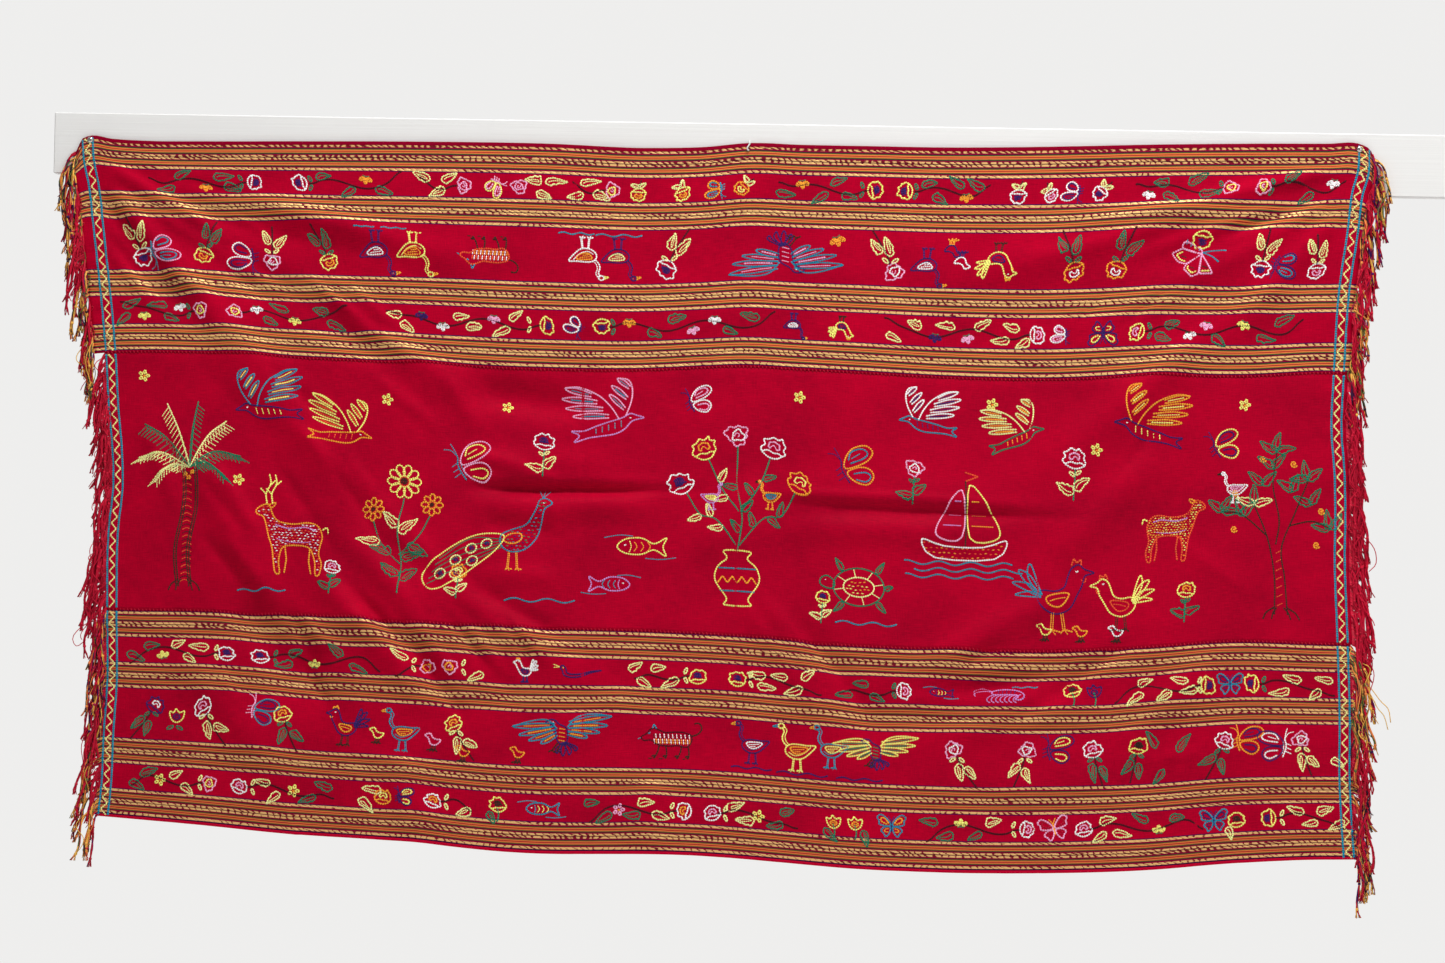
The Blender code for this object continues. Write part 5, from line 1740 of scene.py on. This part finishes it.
def makeHook():
    h = hardware
    (topX, topZ), (tipX, tipZ) = h["hookTop"], h["hookTip"]
    front = frontNear(tipX, tipZ, h["wireRadius"] * 2) - h["wireBow"]
    face = -cloth["railFront"]
    route = [(topX, face + h["wireReach"], topZ), (topX, face - h["wireRadius"] * 2, topZ)]
    route += [(x, front + behind, z) for x, behind, z in h["bends"]]
    route += [(tipX, face - h["wireRadius"] * 1.5, tipZ)]
    line = curve(route, steps=h["wireSteps"], doubled=True)
    points, faces = tubes(line[None], h["wireRadius"], h["wireSides"])
    f = Finish("hookPaint", Roughness=0.35)
    worn = f.noise(f.node("ShaderNodeTexCoord", {}, {}, 3), 500.0, 3.0)
    f.feed(Base_Color=f.mix(worn, *h["hookPaint"]), Roughness=worn * 0.2 + 0.28)
    finished(buildMesh("centre_hook_wire", points, faces, f.material), "hook_paint", "centre_hook")


def paintRail():
    # brushed white paint: long faint strokes and slow clouds
    rail = bpy.data.objects["rail"]
    f = Finish("railPaint", Roughness=0.55, Coat_Weight=0.15, Coat_Roughness=0.3)
    where = f.node("ShaderNodeTexCoord", {}, {}, 3)
    strokes = f.noise(f.stretched(where, 3.0, 120.0, 420.0), 1.0, 3.0)
    cloudy = f.noise(f.stretched(where, 4.0, 4.0, 9.0), 1.0, 3.0)
    grey = ((cloudy - 0.5) * 0.6 + strokes * 0.5 + 0.25).capped()
    f.feed(Base_Color=f.mix(grey, *hardware["railPaint"]), Roughness=strokes * 0.2 + 0.42,
           Normal=f.bump(strokes, 0.0004, 0.5))
    rail.data.materials.clear()
    rail.data.materials.append(f.material)


for spec in hardware["tacks"]:
    makeTack(*spec)
makeHook()
paintRail()
print("tacks, hook and rail finished")


# Stage, light and camera.
stage = dict(
    floor=-1.60, floorLeft=-3.2, floorRight=3.4, floorFront=-4.2, floorBack=1.2,
    paper=((0.80, 0.795, 0.785), (0.84, 0.835, 0.825)),
    camera=(0.2179, -4.28, -0.4973), lens=70.0, sensor=36.0, yaw=3.432, roll=1.385,
    air=(1.0, 0.995, 0.985, 1.0), airFrom=(-0.2, 0.6), airStrength=(0.20, 0.86),
    lamps=(("key", (0.4, -1.8, 3.1), (2.0, 0.8), 160.0), ("fill", (2.6, -3.0, 0.4), (1.6, 1.6), 14.0)),
    aim=(0.0, 0.0, -0.5),
)


def makeFloor():
    xs, ys = (stage["floorLeft"], stage["floorRight"]), (stage["floorFront"], stage["floorBack"])
    points = [(xs[i], ys[j], stage["floor"]) for i, j in ((0, 0), (1, 0), (1, 1), (0, 1))]
    f = Finish("palePaper", Roughness=0.9)
    grain = f.noise(f.node("ShaderNodeTexCoord", {}, {}, 0), 6.0)
    f.feed(Base_Color=f.mix(grain, *stage["paper"]))
    buildMesh("floor", points, [np.array([(0, 1, 2, 3)])], f.material)


def makeLights():
    # soft light from all round, stronger from behind the cloth than from the front, and two lamps
    scene = bpy.context.scene
    world = bpy.data.worlds.new("paleStudio")
    world.use_nodes = True
    scene.world = world
    tree = world.node_tree
    back = tree.nodes["Background"]
    where, split, ramp = (tree.nodes.new(f"ShaderNode{kind}") for kind in ("TexCoord", "SeparateXYZ", "MapRange"))
    tree.links.new(where.outputs["Generated"], split.inputs[0])
    for socket, values in (("From", stage["airFrom"]), ("To", stage["airStrength"])):
        for end, value in zip(("Min", "Max"), values):
            ramp.inputs[f"{socket} {end}"].default_value = value
    tree.links.new(split.outputs["Y"], ramp.inputs["Value"])
    tree.links.new(ramp.outputs["Result"], back.inputs["Strength"])
    back.inputs["Color"].default_value = stage["air"]
    for name, place, size, power in stage["lamps"]:
        lamp = bpy.data.lights.new(name, "AREA")
        lamp.shape = "RECTANGLE"
        lamp.size, lamp.size_y = size
        lamp.energy = power
        holder = bpy.data.objects.new(name, lamp)
        holder.location = place
        toward = mathutils.Vector(stage["aim"]) - mathutils.Vector(place)
        holder.rotation_euler = toward.to_track_quat("-Z", "Y").to_euler()
        bpy.context.collection.objects.link(holder)
    scene.view_settings.view_transform = "Standard"


def makeCamera():
    lens = bpy.data.cameras.new("camera")
    lens.lens = stage["lens"]
    lens.sensor_width = stage["sensor"]
    camera = bpy.data.objects.new("camera", lens)
    yaw, roll = math.radians(stage["yaw"]), math.radians(stage["roll"])
    look = mathutils.Vector((-math.sin(yaw), math.cos(yaw), 0.0))
    level = mathutils.Vector((math.cos(yaw), math.sin(yaw), 0.0))
    high = mathutils.Vector((0.0, 0.0, 1.0))
    right = level * math.cos(roll) + high * math.sin(roll)
    up = high * math.cos(roll) - level * math.sin(roll)
    turned = mathutils.Matrix((right, up, -look)).transposed().to_4x4()
    turned.translation = stage["camera"]
    camera.matrix_world = turned
    bpy.context.collection.objects.link(camera)
    bpy.context.scene.camera = camera


makeFloor()
makeLights()
makeCamera()
print("stage set")

onPanels = (upperStitches, middleStitches, lowerStitches)
for (piece, size), pair, stitches in zip(sheets, fringes, onPanels):
    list(pair)
